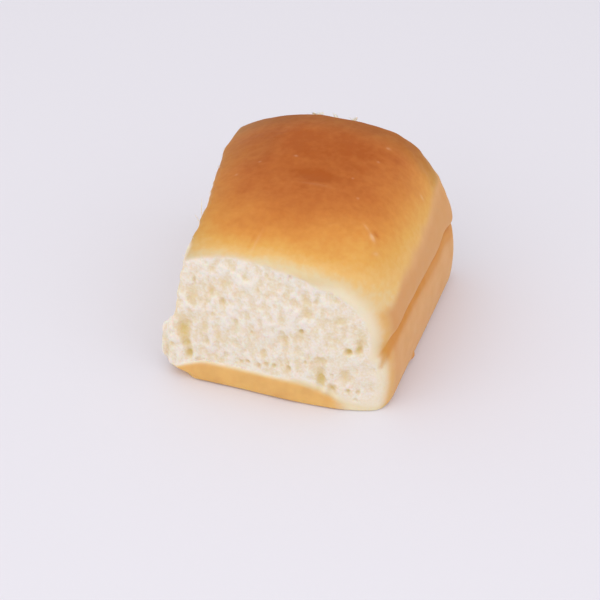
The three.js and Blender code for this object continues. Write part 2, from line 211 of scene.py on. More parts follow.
# The larger holes of the front crumb: place across and up, width, height and depth.
Pore = namedtuple("Pore", "across up width height depth")
FRONT_PORES = (
    Pore(-22.4, 15.9, 3.4, 7.4, 1.8),
    Pore(-21.7, 11.2, 2.0, 2.8, 1.6),
    Pore(-21.2, 8.0, 1.8, 3.2, 1.7),
    Pore(-19.8, 26.8, 4.0, 5.6, 0.8),
    Pore(-19.6, 31.4, 1.1, 2.4, 1.1),
    Pore(-14.9, 29.6, 1.8, 2.8, 1.1),
    Pore(-11.6, 26.8, 1.8, 2.6, 1.1),
    Pore(-16.2, 12.9, 1.6, 2.0, 1.0),
    Pore(-7.9, 21.9, 1.4, 1.9, 1.0),
    Pore(-5.7, 35.6, 1.5, 1.7, 0.8),
    Pore(-1.9, 33.0, 1.1, 1.3, 0.8),
    Pore(-0.5, 13.6, 1.6, 2.4, 0.9),
    Pore(-3.0, 10.7, 1.3, 1.6, 0.7),
    Pore(5.4, 19.6, 2.3, 2.7, 0.9),
    Pore(9.8, 23.4, 1.2, 1.5, 1.6),
    Pore(13.4, 33.4, 1.2, 1.5, 0.8),
    Pore(19.5, 28.6, 3.2, 2.8, 0.7),
    Pore(14.7, 14.9, 3.6, 2.8, 0.8),
    Pore(22.0, 18.9, 1.7, 1.9, 1.8),
    Pore(24.6, 20.4, 1.7, 4.2, 1.5),
    Pore(21.4, 11.2, 2.6, 4.6, 1.1),
    Pore(15.0, 8.4, 2.5, 5.0, 1.8),
    Pore(17.9, 6.0, 2.7, 4.0, 2.0),
    Pore(10.9, 13.8, 1.1, 1.3, 1.0),
    Pore(18.0, 11.0, 0.9, 1.1, 1.0),
    Pore(22.1, 6.3, 1.1, 1.4, 1.3),
    Pore(24.7, 6.0, 1.1, 1.4, 1.0),
    Pore(24.0, 3.6, 1.0, 1.2, 1.0),
    Pore(-6.7, 8.8, 1.0, 1.2, 1.2),
    Pore(-4.7, 9.6, 1.0, 1.2, 1.1),
    Pore(-1.6, 9.1, 1.2, 1.7, 1.4),
    Pore(0.4, 10.2, 0.9, 1.3, 1.0),
    Pore(2.4, 10.2, 1.0, 1.2, 1.1),
    Pore(6.5, 10.7, 1.4, 1.9, 1.4),
    Pore(6.5, 12.6, 0.8, 0.9, 0.8),
    Pore(0.2, 38.6, 1.2, 1.3, 0.8),
    Pore(6.6, 39.8, 1.0, 1.1, 0.8),
    Pore(-3.7, 19.7, 0.9, 1.1, 1.0),
    Pore(-14.5, 22.3, 1.0, 1.3, 1.0),
)

# Small marks on the dome: place, half length across and along, turn in degrees, lift, and
# paleness (below 0 is darker).
Mark = namedtuple("Mark", "x y across along turn lift pale")
MARKS = (
    Mark(1.6, 0.2, 6.0, 2.4, 0, -0.26, -0.36),
    Mark(3.4, -3.6, 4.2, 0.7, 4, 0.06, 0.1),
    Mark(20.3, -12.9, 1.1, 0.32, -39, 0.1, 0.25),
    Mark(22.4, -14.7, 1.0, 0.55, -46, 0.22, 0.55),
    Mark(22.8, -12.9, 0.9, 0.6, -40, -0.2, -0.55),
    Mark(24.5, -18.0, 0.8, 0.4, 62, 0.06, 0.3),
    Mark(-5.6, 6.9, 0.5, 0.4, 0, 0.05, 0.25),
    Mark(-14.4, 3.4, 0.4, 0.4, 0, 0.05, 0.2),
    Mark(-18.9, -2.1, 0.4, 0.4, 0, 0.05, 0.2),
    Mark(11.4, 2.7, 0.35, 0.35, 0, 0.05, 0.2),
    Mark(15.1, -4.2, 0.35, 0.35, 0, 0.05, 0.2),
    Mark(14.9, 13.5, 0.4, 0.4, 0, 0.05, 0.2),
    Mark(15.2, 21.3, 0.5, 0.5, 0, 0.05, 0.25),
    Mark(26.9, 14.2, 0.5, 0.5, 0, 0.05, 0.25),
    Mark(-14.3, -9.9, 1.6, 1.3, 0, -0.04, -0.35),
    Mark(-3.5, 9.7, 0.4, 1.0, 0, -0.05, -0.4),
    Mark(19.0, 18.2, 1.8, 1.5, 0, -0.04, -0.3),
    Mark(-5.6, -26.5, 0.4, 2.6, -8, -0.05, -0.2),
    Mark(-4.4, -27.0, 0.4, 2.8, -8, 0.04, 0.15),
    Mark(9.5, -11.5, 1.6, 0.5, 35, -0.04, -0.2),
)

# Undulation of the whole skin, and the ragged right back corner.
UNDULATION = (Lump(7.5, 0.16), Lump(2.4, 0.05))
RAGGED_EDGE, RAGGED_CORNER = Lump(2.9, 0.35), (Fade(14, 8), Fade(18, 8), Fade(24, 6))
ON_TOP = Fade(30, 6)
ABOVE_FOOT = Fade(1, 3)

# Pores: how uneven their outlines are, where the small ones are drawn, and their shapes.
RAGGED_PORE, PORE_ZONE = Lump(1.5, 0.3), 5.0
FACE_REACH, FACE_TOP = 34.0, 47.0
PORE_SHALLOWEST, PORE_DEEPEST, FINE_PORE_DEEPEST = 0.3, 0.75, 0.9
PORE_TALL_LOW, PORE_TALL_HIGH, PORE_CLEARANCE = 1.0, 1.9, 0.8
BOWL_REACH, BOWL_SPARE_CELLS, PLACED_BOWL_INWARD = 1.7, 2, 1.5
PLACED_BOWL_POWER, DRAWN_BOWL_POWER = 3, 2

# Fibres of the crumb: where they start below the crust, and how each octave follows the last.
FIBRE_START, FIBRE_STRETCH = 0.2, 1.35
FIBRE_OCTAVES, FIBRE_SHIFT, FIBRE_FINER, FIBRE_LOWER = 3, 31, 0.55, 0.75


def band_height(band, place):
    """Height of the band of crust along a foot, at a place along it."""
    return mix(band.high, band.low, band.lowering(place))


def front_band_height(x):
    """Height of the band of crust under the torn front, which drops at its left end."""
    return band_height(FRONT_BAND, x) - FRONT_BAND_END_DROP * FRONT_BAND_END(x)


def above_band(band_top, z):
    """How far the crumb above the top of a band may stand out past the band."""
    return CRUMB_PROUD * smooth((z - band_top) / CRUMB_PROUD_RISE)


class RollForm:
    """Signed forms of one roll, from its width, depth, height and fold height in millimetres."""

    def __init__(self, width, depth, height, fold_height):
        self.half_width = width / 2
        self.half_depth = depth / 2
        self.depth = depth
        self.height = height
        self.fold_low = fold_height

    def dome_height(self, x, y):
        across = (x - CROWN_X) / self.half_width
        along = (y - CROWN_Y) / self.half_depth
        drop_right = mix(DROP_RIGHT, DROP_RIGHT_BACK, SHOULDER_BACKWARD(y))
        side_drop = np.where(across < 0, DROP_LEFT, drop_right)
        end_drop = np.where(along < 0, DROP_FRONT, DROP_BACK)
        fall = side_drop * np.abs(across) ** ACROSS_POWER + end_drop * np.abs(along) ** ALONG_POWER
        return self.height - fall

    def fold_height(self, y):
        t = (y + self.half_depth) / self.depth
        front = FOLD_FRONT_RISE * FOLD_FRONT(t)
        return self.fold_low + front - FOLD_BACK_DROP * FOLD_BACK(t) - FOLD_SAG * FOLD_SAG_PLACE(t)

    def near_back(self, y, corner):
        return np.clip((y - self.half_depth + corner) / corner, 0, 1) ** 2

    def near_front(self, y, corner, reach):
        return np.clip((corner - self.half_depth - y) / reach, 0, 1) ** 2

    def right_side(self, y, z):
        above = z - self.fold_height(y)
        lower_front = self.near_front(y, SIDE_LOWER_FRONT_CORNER, SIDE_LOWER_FRONT_REACH)
        upper_front = self.near_front(y, SIDE_UPPER_FRONT_CORNER, SIDE_UPPER_FRONT_REACH)
        bulge = SIDE_BULGE * ((z - SIDE_BULGE_HEIGHT) / SIDE_BULGE_REACH) ** 2
        lower = self.half_width - bulge
        lower = lower - SIDE_LOWER_FRONT_INSET * lower_front
        lower = lower - SIDE_LOWER_BACK_INSET * self.near_back(y, SIDE_BACK_CORNER)
        lip = FOLD_LIP_INSET * np.exp(-np.maximum(above, 0) / FOLD_LIP_REACH)
        upper = self.half_width - SIDE_UPPER_INSET - lip - SIDE_UPPER_FRONT_INSET * upper_front
        inset_share = mix(SIDE_FOLD_INSET_SHARE, 1, SIDE_UPPER_BACK_RISE(above))
        near_back = self.near_back(y, SIDE_UPPER_BACK_CORNER)
        upper = upper - SIDE_UPPER_BACK_INSET * inset_share * near_back
        step = 1 / (1 + np.exp(np.clip(-above / FOLD_STEP, -FOLD_STEP_LIMIT, FOLD_STEP_LIMIT)))
        depth = FOLD_DEPTH * FOLD_DEEPENING(y + self.half_depth)
        groove = depth * np.exp(-(np.abs(above / FOLD_HALF_OPENING) ** FOLD_OPENING_POWER))
        return mix(lower, upper, step) - groove

    def foot_front(self, x):
        corner = np.clip((x - FOOT_CORNER_START) / FOOT_CORNER_REACH, 0, OVERRUN) ** 2
        belly = FOOT_BELLY * FOOT_BELLY_PLACE(x)
        slope = FOOT_SLOPE * (x - FOOT_SLOPE_START)
        return FOOT_INSET - self.half_depth + slope + FOOT_CORNER_INSET * corner - belly

    def front_face(self, x, z):
        share = np.clip(z / TEAR_HEIGHT, 0, OVERRUN) ** 2
        lean = FRONT_LEAN + FRONT_LEFT_LEAN * FRONT_LEFTWARD(x)
        behind_knob = KNOB_SETBACK * KNOB_SETBACK_LEFTWARD(x)
        return self.foot_front(x) + FRONT_INSET + lean * share + behind_knob

    def back_face(self, x, z):
        lean = np.clip(z / TEAR_HEIGHT, 0, OVERRUN) ** 2
        return self.half_depth - BACK_INSET - BACK_LEAN * lean + 0 * x

    @staticmethod
    def knob(y, z):
        along = ((y - KNOB_Y) / KNOB_REACH) ** 2
        below = np.maximum((KNOB_Z - z) / KNOB_BELOW, 0) ** KNOB_LOW_POWER
        up = below + np.maximum((z - KNOB_Z) / KNOB_ABOVE, 0) ** KNOB_POWER
        return KNOB_PROUD * np.exp(-along - up)

    def left_base(self, y, z):
        up = np.clip(z / TEAR_HEIGHT, 0, OVERRUN)
        front = LEFT_FRONT_X + LEFT_FRONT_LEAN * up**LEFT_FRONT_POWER
        back = LEFT_BACK_X + LEFT_BACK_LEAN * up
        return mix(front, back, smooth((y + self.half_depth) / self.depth * LEFT_BLEND))

    def left_face(self, y, z):
        return self.left_base(y, z) - self.knob(y, z)

    @staticmethod
    def relief(x, y, z):
        return sum(lump.wave(x, y, z) for lump in LUMPS)

    def front_torn(self, x, z):
        face = self.front_face(x, z)
        return face + self.relief(x, face, z)

    def back_torn(self, x, z):
        face = self.back_face(x, z)
        return face + self.relief(x, face, z)

    def left_torn(self, y, z):
        face = self.left_face(y, z)
        return face + self.relief(face, y, z)

    def baked(self, x, y, z):
        shoulder = mix(SHOULDER_FRONT_RADIUS, SHOULDER_BACK_RADIUS, SHOULDER_BACKWARD(y))
        top = (z - self.dome_height(x, y)) * DOME_SLOPE_FACTOR
        return filleted_max(top, x - self.right_side(y, z), shoulder)

    def front_corner(self, x, y, z, lip):
        rightward = CORNER_RIGHTWARD(x)
        limit = mix(self.foot_front(x), self.front_torn(x, z), rightward)
        return filleted_max(self.baked(x, y, z), limit - y, mix(lip, CORNER_RADIUS, rightward))

    def crust(self, x, y, z):
        right = x - self.right_side(y, z)
        front = self.foot_front(x) - y - above_band(front_band_height(x), z)
        back = y - self.half_depth - above_band(band_height(BACK_BAND, x), z)
        left = self.left_base(y, 0.0) - self.knob(y, z) - x
        left = left - FOOT_LEFT_PROUD - above_band(band_height(LEFT_BAND, -y), z)
        lowness = np.clip(1 - z / FOOT_CORNER_HEIGHT, 0, 1)
        corner_radius = FOOT_CORNER_RADIUS * np.sqrt(lowness)
        left_at_corner = left + FOOT_CORNER_SLANT * lowness
        form = self.baked(x, y, z)
        for low_edge, radius in (
            (right, FOOT_RIGHT_RADIUS),
            (front, FOOT_FRONT_RADIUS),
            (back, FOOT_BACK_RADIUS),
            (left, FOOT_LEFT_RADIUS),
        ):
            form = np.maximum(form, filleted_max(-z, low_edge, radius))
        form = np.maximum(form, filleted_max(front, left_at_corner, corner_radius))
        form = np.maximum(form, filleted_max(back, right, FOOT_BACK_RIGHT_RADIUS))
        return np.maximum(form, filleted_max(back, left, FOOT_BACK_LEFT_RADIUS))


# ---------------------------------------------------------------------------
# Meshing: a signed field on a grid, and the net of quads round its zero
# ---------------------------------------------------------------------------

# Cells of the grid round the roll, and cells on each side of the surface in which relief is added.
MARGIN_CELLS, NEAR_CELLS = 4, 4
# Thinning: steps of the vertex group, strength of its pull, and the share of crust triangles kept.
THIN_LEVELS, THIN_STRENGTH, CRUST_KEPT = 4, 100, 0.16
# Where the crumb's triangles begin below the crust, and those that the fold keeps beside it.
BELOW_CRUST, FOLD_FINE, FOLD_FINE_X = Fade(0.3, 0.3), Hill(0, 2), 20


class Grid:
    """Even grid of points round the roll, in millimetres."""

    def __init__(self, form, pitch):
        margin = MARGIN_CELLS * pitch
        self.pitch = pitch
        self.low = np.array([-form.half_width, -form.half_depth, 0.0]) - margin
        high = np.array([form.half_width, form.half_depth, form.height]) + margin
        counts = np.ceil((high - self.low) / pitch).astype(int) + 1
        self.x, self.y, self.z = (
            (self.low[a] + pitch * np.arange(counts[a])).astype(np.float32) for a in range(3)
        )

    def axes(self):
        """The three axes, shaped to spread over the grid."""
        return self.x[:, None, None], self.y[None, :, None], self.z[None, None, :]

    def block(self, centre, reach):
        """Slices of the grid within reach of a centre, and their axes."""
        cuts = []
        for axis, middle, size in zip((self.x, self.y, self.z), centre, reach):
            start = max(int((middle - size - axis[0]) / self.pitch), 0)
            stop = min(int((middle + size - axis[0]) / self.pitch) + 2, len(axis))
            cuts.append(slice(start, max(stop, start)))
        cut_x, cut_y, cut_z = cuts
        axes = self.x[cut_x, None, None], self.y[None, cut_y, None], self.z[None, None, cut_z]
        return tuple(cuts), axes


def surface_net(field, grid):
    """Vertices and outward quads of the surface where the field is zero."""
    inside = field < 0
    nx, ny, nz = field.shape
    corner_cut = {
        c: (slice(c[0], nx - 1 + c[0]), slice(c[1], ny - 1 + c[1]), slice(c[2], nz - 1 + c[2]))
        for c in product((0, 1), repeat=3)
    }
    held = np.zeros((nx - 1, ny - 1, nz - 1), np.int8)
    for cut in corner_cut.values():
        held += inside[cut]
    active = (held > 0) & (held < len(corner_cut))
    cells = np.argwhere(active)
    index = np.full(active.shape, -1, np.int64)
    index[active] = np.arange(len(cells))
    values = {c: field[cut][active] for c, cut in corner_cut.items()}

    total = np.zeros((len(cells), 3))
    count = np.zeros(len(cells))
    for a, b in product(corner_cut, repeat=2):
        if sum(b) - sum(a) != 1 or any(q < p for p, q in zip(a, b)):
            continue
        crossed = (values[a] < 0) != (values[b] < 0)
        share = values[a][crossed] / (values[a][crossed] - values[b][crossed])
        total[crossed] += np.array(a) + share[:, None] * (np.array(b) - np.array(a))
        count[crossed] += 1
    vertices = grid.low + grid.pitch * (cells + total / count[:, None])

    quads = []
    for axis in range(3):
        one, two = [a for a in range(3) if a != axis]
        near = [slice(1, -1)] * 3
        near[axis] = slice(0, -1)
        far = list(near)
        far[axis] = slice(1, None)
        here, there = inside[tuple(near)], inside[tuple(far)]
        edges = np.argwhere(here != there)
        leaving = here[tuple(edges.T)]
        base = edges + 1
        base[:, axis] -= 1
        ring = []
        for step_one, step_two in ((0, 0), (1, 0), (1, 1), (0, 1)):
            cell = base.copy()
            cell[:, one] -= step_one
            cell[:, two] -= step_two
            ring.append(index[tuple(cell.T)])
        ring = np.stack(ring, 1)
        turned = leaving if axis == 1 else ~leaving
        ring[turned] = ring[turned][:, ::-1]
        quads.append(ring)
    return vertices, np.concatenate(quads)


def new_mesh_object(name, vertices, faces):
    """Linked object with a mesh made from arrays of points and of equal-sided faces."""
    mesh = bpy.data.meshes.new(name)
    sides = faces.shape[1]
    mesh.vertices.add(len(vertices))
    mesh.vertices.foreach_set("co", np.asarray(vertices, np.float32).ravel())
    mesh.loops.add(faces.size)
    mesh.loops.foreach_set("vertex_index", faces.ravel().astype(np.int32))
    mesh.polygons.add(len(faces))
    mesh.polygons.foreach_set("loop_start", np.arange(0, faces.size, sides, dtype=np.int32))
    mesh.update(calc_edges=True)
    mesh.validate()
    mesh.shade_smooth()
    piece = bpy.data.objects.new(name, mesh)
    bpy.context.scene.collection.objects.link(piece)
    return piece


def vertex_array(mesh):
    """Points of a mesh as an array."""
    points = np.empty(len(mesh.vertices) * 3, np.float32)
    mesh.vertices.foreach_get("co", points)
    return points.reshape(-1, 3).astype(float)


def store_mask(mesh, name, values):
    """Keeps one number for each point, for the material to read."""
    layer = mesh.attributes.new(name, "FLOAT", "POINT")
    layer.data.foreach_set("value", np.asarray(values, np.float32))


def triangle_count(mesh):
    """Number of triangles that the faces of a mesh hold."""
    return sum(len(face.vertices) - 2 for face in mesh.polygons)


def apply_modifiers(piece):
    """Replaces the mesh of a piece by its evaluated one, and drops its modifiers."""
    shown = piece.evaluated_get(bpy.context.evaluated_depsgraph_get())
    mesh = bpy.data.meshes.new_from_object(shown)
    old = piece.data
    piece.modifiers.clear()
    piece.data = mesh
    bpy.data.meshes.remove(old)


# ---------------------------------------------------------------------------
# The roll's own field: torn faces, relief of the skin, fibres and pores
# ---------------------------------------------------------------------------


def torn_roll(form, x, y, z, lip):
    """Signed form of the roll with its three torn faces, and of the untorn roll round it."""
    crust = form.crust(x, y, z)
    front = np.minimum(form.front_torn(x, z) - y, (z - front_band_height(x)) * LEDGE_SLOPE)
    back = np.minimum(y - form.back_torn(x, z), (z - band_height(BACK_BAND, x)) * LEDGE_SLOPE)
    recess = LEFT_RECESS * (1 - RECESS_INWARD(crust)) * RECESS_UPWARD(z)
    recess = recess * (1 - RECESS_BACKWARD(y))
    left_top = (z - band_height(LEFT_BAND, -y)) * LEDGE_SLOPE
    left = np.minimum(form.left_torn(y, z) + recess - x, left_top)
    roll = np.maximum(crust, form.front_corner(x, y, z, lip))
    for torn in (front, back, left):
        roll = filleted_max(roll, torn, lip)
    return roll, crust


def corner_skin(x, y):
    """Thickness of the smooth skin that rolls round from the baked side onto the front."""
    return CORNER_SKIN * CORNER_RIGHTWARD(x) * CORNER_FORWARD(y)


def mark_shape(mark, x, y):
    """Share of a mark at each place, 1 in its middle."""
    turn = math.radians(mark.turn)
    across = (x - mark.x) * math.cos(turn) + (y - mark.y) * math.sin(turn)
    along = (y - mark.y) * math.cos(turn) - (x - mark.x) * math.sin(turn)
    return np.exp(-((across / mark.across) ** 2) - (along / mark.along) ** 2)


def nub_shape(x, y, z):
    """Share of the small nub low on the baked side, 1 in its middle."""
    spread = ((y - NUB_Y) / NUB_HALF_LENGTH) ** 2 + ((z - NUB_Z) / NUB_HALF_HEIGHT) ** 2
    return np.exp(-spread) * (x > 0)


def skin_lift(x, y, z):
    """How far the undulations and marks of the baked skin stand out."""
    lift = sum(lump.wave(x, y, z) for lump in UNDULATION)
    lift = lift + RAGGED_EDGE.wave(x, y, z, within(RAGGED_CORNER, x, y, z))
    for mark in MARKS:
        lift = lift + ON_TOP(z) * mark.lift * mark_shape(mark, x, y)
    return lift * ABOVE_FOOT(z) + NUB_PROUD * nub_shape(x, y, z)


def grid_places(grid, chosen):
    """Coordinates of the chosen points of a grid."""
    axes = (grid.x, grid.y, grid.z)
    return tuple(axis[index].astype(float) for axis, index in zip(axes, np.nonzero(chosen)))


def lift_crust(field, crust, grid):
    """Adds the undulations and marks of the baked skin to the field, near the crust."""
    reach = NEAR_CELLS * grid.pitch
    near = (np.abs(crust) < reach) & (np.abs(field) < reach)
    field[near] -= skin_lift(*grid_places(grid, near))


def roughen(field, crust, grid, crumb):
    """Adds the soft fibres of the crumb to the field, below the crust."""
    near = (np.abs(field) < NEAR_CELLS * grid.pitch) & (crust < 0)
    x, y, z = grid_places(grid, near)
    share = smooth(-crust[near] - FIBRE_START - corner_skin(x, y))
    rise = np.zeros(len(x))
    size, height = crumb.fibre_size / MM, crumb.fibre_height / MM
    for octave in range(FIBRE_OCTAVES):
        shift = FIBRE_SHIFT * octave
        rise += height * noise(x / size + shift, y / size, z / (size * FIBRE_STRETCH))
        size, height = size * FIBRE_FINER, height * FIBRE_LOWER
    field[near] += share * rise


def ragged_field(form, grid):
    """Noise near the torn faces that makes the outline of each pore uneven."""
    x, y, z = grid.axes()
    shape = (len(grid.x), len(grid.y), len(grid.z))
    near = np.zeros(shape, bool)
    near |= y < form.front_torn(x, z) + PORE_ZONE
    near |= y > form.back_torn(x, z) - PORE_ZONE
    near |= x < form.left_torn(y, z) + PORE_ZONE
    i, j, k = np.nonzero(near)
    uneven = np.zeros(shape, np.float32)
    uneven[near] = RAGGED_PORE.wave(grid.x[i], grid.y[j], grid.z[k])
    return uneven


def press_bowl(field, grid, uneven, centre, radii, depth, power):
    """Presses a soft bowl with an uneven outline into the surface."""
    reach = np.asarray(radii) * BOWL_REACH + BOWL_SPARE_CELLS * grid.pitch
    cuts, (x, y, z) = grid.block(centre, reach)
    block = field[cuts]
    if not block.size:
        return
    spread = ((x - centre[0]) / radii[0]) ** 2 + ((y - centre[1]) / radii[1]) ** 2
    spread = spread + ((z - centre[2]) / radii[2]) ** 2
    block += depth * np.exp(-(np.maximum(np.sqrt(spread) + uneven[cuts], 0) ** power))


def front_bowls(form):
    """Centre, radii and depth of the larger hollows of the front crumb."""
    for pore in FRONT_PORES:
        y = float(form.front_torn(np.array(pore.across), np.array(pore.up)))
        inward = max(pore.depth, pore.width / 2) * PLACED_BOWL_INWARD
        radii = (pore.width / 2, inward, pore.height / 2)
        yield (pore.across, y, pore.up), radii, pore.depth


def drawn_bowls(form, crumb, face, rng):
    """Centre, radii and depth of the small hollows of one torn face, by its random numbers."""
    area = 2 * FACE_REACH * FACE_TOP
    for density, low, high, deepest in (
        (crumb.large_density, crumb.large_smallest, crumb.large_largest, PORE_DEEPEST),
        (crumb.fine_density, crumb.fine_smallest, crumb.fine_largest, FINE_PORE_DEEPEST),
    ):
        count = int(density * area)
        along = rng.uniform(-FACE_REACH, FACE_REACH, count)
        up = rng.uniform(0, FACE_TOP, count)
        radius = mix(low / MM, high / MM, rng.random(count) ** 2)
        depth = radius * rng.uniform(PORE_SHALLOWEST, deepest, count)
        tall = rng.uniform(PORE_TALL_LOW, PORE_TALL_HIGH, count)
        if face == "front":
            centre = np.stack([along, form.front_torn(along, up), up], 1)
        elif face == "back":
            centre = np.stack([along, form.back_torn(along, up), up], 1)
        else:
            centre = np.stack([form.left_torn(along, up), along, up], 1)
        clear = crumb.skin / MM + corner_skin(centre[:, 0], centre[:, 1])
        inner = form.crust(*centre.T) < -radius * PORE_CLEARANCE - clear
        kept = (values[inner] for values in (centre, radius, depth, tall))
        for middle, size, deep, stretch in zip(*kept):
            yield middle, (size, size, size * stretch), deep


# ---------------------------------------------------------------------------
# Masks that the material reads
# ---------------------------------------------------------------------------

# Browning of the dome: how it grows from each edge, and where it is held back.
BAKE_EDGE_LEFT, BAKE_EDGE, BAKE_EDGE_RIGHTWARD = -0.6, 0.8, Fade(-6, 8)
BAKE_FRONT_REACH, BAKE_BACK = 10.5, Fade(-0.4, 1.2)
BAKE_LEFT_LOSS, BAKE_LEFT_REACH = 0.42, 6.5
BAKE_RIGHT_X, BAKE_RIGHT_REACH = 26.4, 4.0
Patch = namedtuple("Patch", "x y across along gain")
BAKE_PATCHES = (Patch(-10.5, -24.5, 6.5, 4.5, 0.22), Patch(17.0, 4.0, 6.5, 7.0, -0.07))
FRONT_LOSS, FRONT_LOSS_ACROSS = 0.2, (Fade(3, 9), Fade(25, -5))
FRONT_LOSS_ALONG = (Fade(-27, 6), Fade(-2, -16))
BACK_LOSS_LEFT, BACK_LOSS, BACK_LOSS_RIGHTWARD = 0.14, 0.2, Fade(8, 4)
BACK_LOSS_BACKWARD = Fade(16, 12)

# Painted shade where the dome turns away from the light near its left and back edges, and in the
# corner between them, tinted grey like a painted sheen.
SHADE_LEFT, SHADE_LEFT_REACH = 0.33, 5.0
SHADE_BACK, SHADE_BACKWARD = 0.5, Fade(19, 10)
SHADE_BETWEEN, SHADE_CORNER = 0.2, (Fade(-10, -6), Fade(-2, 10))
SHADE_UPWARD = Fade(26, 6)

# Crumb: how soon it shows below the crust, the knob, the painted shade low on the knob, and the
# depth below the torn face at which the painted shade of the pores is full.
ROUNDING, ROUNDING_BEHIND = 0.7, Fade(3, 3)
CRUMB_FADE, CRUMB_FADE_LEFT, CRUMB_LEFTWARD = 1.2, 0.8, Fade(-15, -5)
KNOB_SHOWS = (Fade(0.3, 0.5), Fade(-24, -2), Fade(0.8, 0.8))
# Painted shade low on the knob, just above the floor where its underside turns in.
KNOB_SHADE, KNOB_SHADE_ACROSS, KNOB_SHADE_UP = 0.6, Hill(-27.2, 0.9), Hill(2.8, 1.6)
PORE_SHADE_DEPTH = 1.5

# Smooth torn skin beside the baked side: its edge, and the share of crumb in it.
AT_FRONT = Fade(-24, -4)
MARGIN_EDGE, MARGIN_RIGHTWARD = Fade(0.5, 2.4), Fade(5, 6)
WEDGE, WEDGE_UP = 0.8, Hill(21, 4)
MARGIN_CRUMB_TOP, MARGIN_CRUMB_LOW, MARGIN_DOWNWARD = 0.25, 0.6, Fade(18, -10)
MARGIN_ABOVE_BAND = Fade(0, 1.5)

# Baked side: the corner that browns like the dome, where the side ends at its top, and the foot.
CORNER_BAKED = (Fade(24, 4), Fade(34, -6))
CORNER_BAKE, CORNER_BAKE_BEHIND, CORNER_BAKE_REACH, CORNER_LOSS = 0.42, 0.4, 2.4, 0.8
SIDE_TOP, SIDE_TOP_DROP, SIDE_TOP_FORWARD, SIDE_TOP_WAVE = 35.3, 3.5, Fade(-10, -14), Lump(5, 0.8)
SIDE_DOWNWARD, SIDE_RIGHTWARD = Fade(0, -3.2), Fade(12, 10)
UPPER_SIDE = (Fade(0.5, 2), Fade(33, -3))
FOOT_TOP, FOOT_BELOW_BAND, FOOT_LEFTWARD = Fade(9, -2), Fade(0.4, -0.8), Fade(24, -6)
RIM, RIM_DEPTH, RIM_LEFTWARD = Hill(0, 0.7), 1.5, Fade(27, -3)

# Fold: painted shade along its crease and just under its lip, the browning below that, and the
# streak in which it runs out in front, with the crease's shade painted in.
FOLD_CREASE_SHADE, FOLD_INWARD = Hill(0, 0.5), Fade(1.6, 1.6)
FOLD_BAKE, FOLD_BAKE_UPWARD = 0.62, Fade(-6.0, 3.6)
FOLD_LIP_SHADE, FOLD_LIP_SHADE_UPWARD = 0.38, Fade(-4.2, 1.6)
FOLD_ABOVE_FOOT, FOLD_RIGHTWARD = Fade(11, 3), Fade(27, 3)
FOLD_BACK_BAKE, FOLD_BACKWARD = 0.72, Fade(2, 8)
FOLD_EVEN, FOLD_WAVE = 0.88, Lump(2, 0.12)
FOLD_END_HIGH, FOLD_END_LOW = (31.3, -27.6, 20.6), (29.9, -28.6, 14.4)
FOLD_END_RADII, FOLD_END_SHARES = (1.38, 0.69), (0.9, 0.6)
NUB_BAKE = 0.8


def settling(distance, reach):
    """Share that is 1 up to a distance of 0 and falls away beyond it."""
    return np.exp(-np.maximum(distance, 0) / reach)


def browning(form, x, y, z, behind_left, behind_back):
    """How far the dome is baked, from 0 at its pale torn edges to 1 on the crown."""
    edge = mix(BAKE_EDGE_LEFT, BAKE_EDGE, BAKE_EDGE_RIGHTWARD(x))
    bake = 1 - settling(y - form.front_face(x, z) - edge, BAKE_FRONT_REACH)
    bake = bake * (1 - BAKE_LEFT_LOSS * settling(behind_left, BAKE_LEFT_REACH))
    bake = bake / (1 + np.exp((x - BAKE_RIGHT_X) / BAKE_RIGHT_REACH))
    for patch in BAKE_PATCHES:
        away = ((x - patch.x) / patch.across) ** 2 + ((y - patch.y) / patch.along) ** 2
        bake = bake * (1 + patch.gain * np.exp(-away))
    front_loss = FRONT_LOSS * within(FRONT_LOSS_ACROSS, x, x) * within(FRONT_LOSS_ALONG, y, y)
    back_loss = mix(BACK_LOSS_LEFT, BACK_LOSS, BACK_LOSS_RIGHTWARD(x)) * BACK_LOSS_BACKWARD(y)
    return bake * (1 - front_loss) * (1 - back_loss) * BAKE_BACK(behind_back)


def painted_shade(x, y, z, behind_left):
    """Share of painted shade, tinted grey like a sheen, on the dome towards its left and back
    edges.
    """
    left = SHADE_LEFT * settling(behind_left, SHADE_LEFT_REACH)
    back = SHADE_BACK * SHADE_BACKWARD(y)
    between = SHADE_BETWEEN * within(SHADE_CORNER, x, y)
    return (1 - (1 - left) * (1 - back) * (1 - between)) * SHADE_UPWARD(z)


def fold_shade_and_bake(form, x, y, z):
    """Painted shade in the fold's crease and just under its lip, browning of the skin below it, and
    browning of the small nub.
    """
    above = z - form.fold_height(y)
    under = FOLD_BAKE * FOLD_BAKE_UPWARD(above) + FOLD_LIP_SHADE * FOLD_LIP_SHADE_UPWARD(above)
    fold = np.where(above > 0, FOLD_CREASE_SHADE(above), under * FOLD_ABOVE_FOOT(z))
    fold = fold * (1 - FOLD_INWARD(form.right_side(y, z) - x)) * FOLD_RIGHTWARD(x)
    fold = fold * mix(1, FOLD_BACK_BAKE, FOLD_BACKWARD(y)) * (FOLD_EVEN + FOLD_WAVE.wave(x, y, z))
    return np.maximum(fold, NUB_BAKE * nub_shape(x, y, z))


def fold_end_shade(points):
    """Share of the streak in which the fold runs out down the front corner: browning with the
    crease's painted shade.
    """
    high, low = np.array(FOLD_END_HIGH), np.array(FOLD_END_LOW)
    run = low - high
    share = np.clip((points - high) @ run / (run @ run), 0, 1)
    away = np.linalg.norm(points - high - share[:, None] * run, axis=1)
    return np.exp(-((away / mix(*FOLD_END_RADII, share)) ** 2)) * mix(*FOLD_END_SHARES, share)


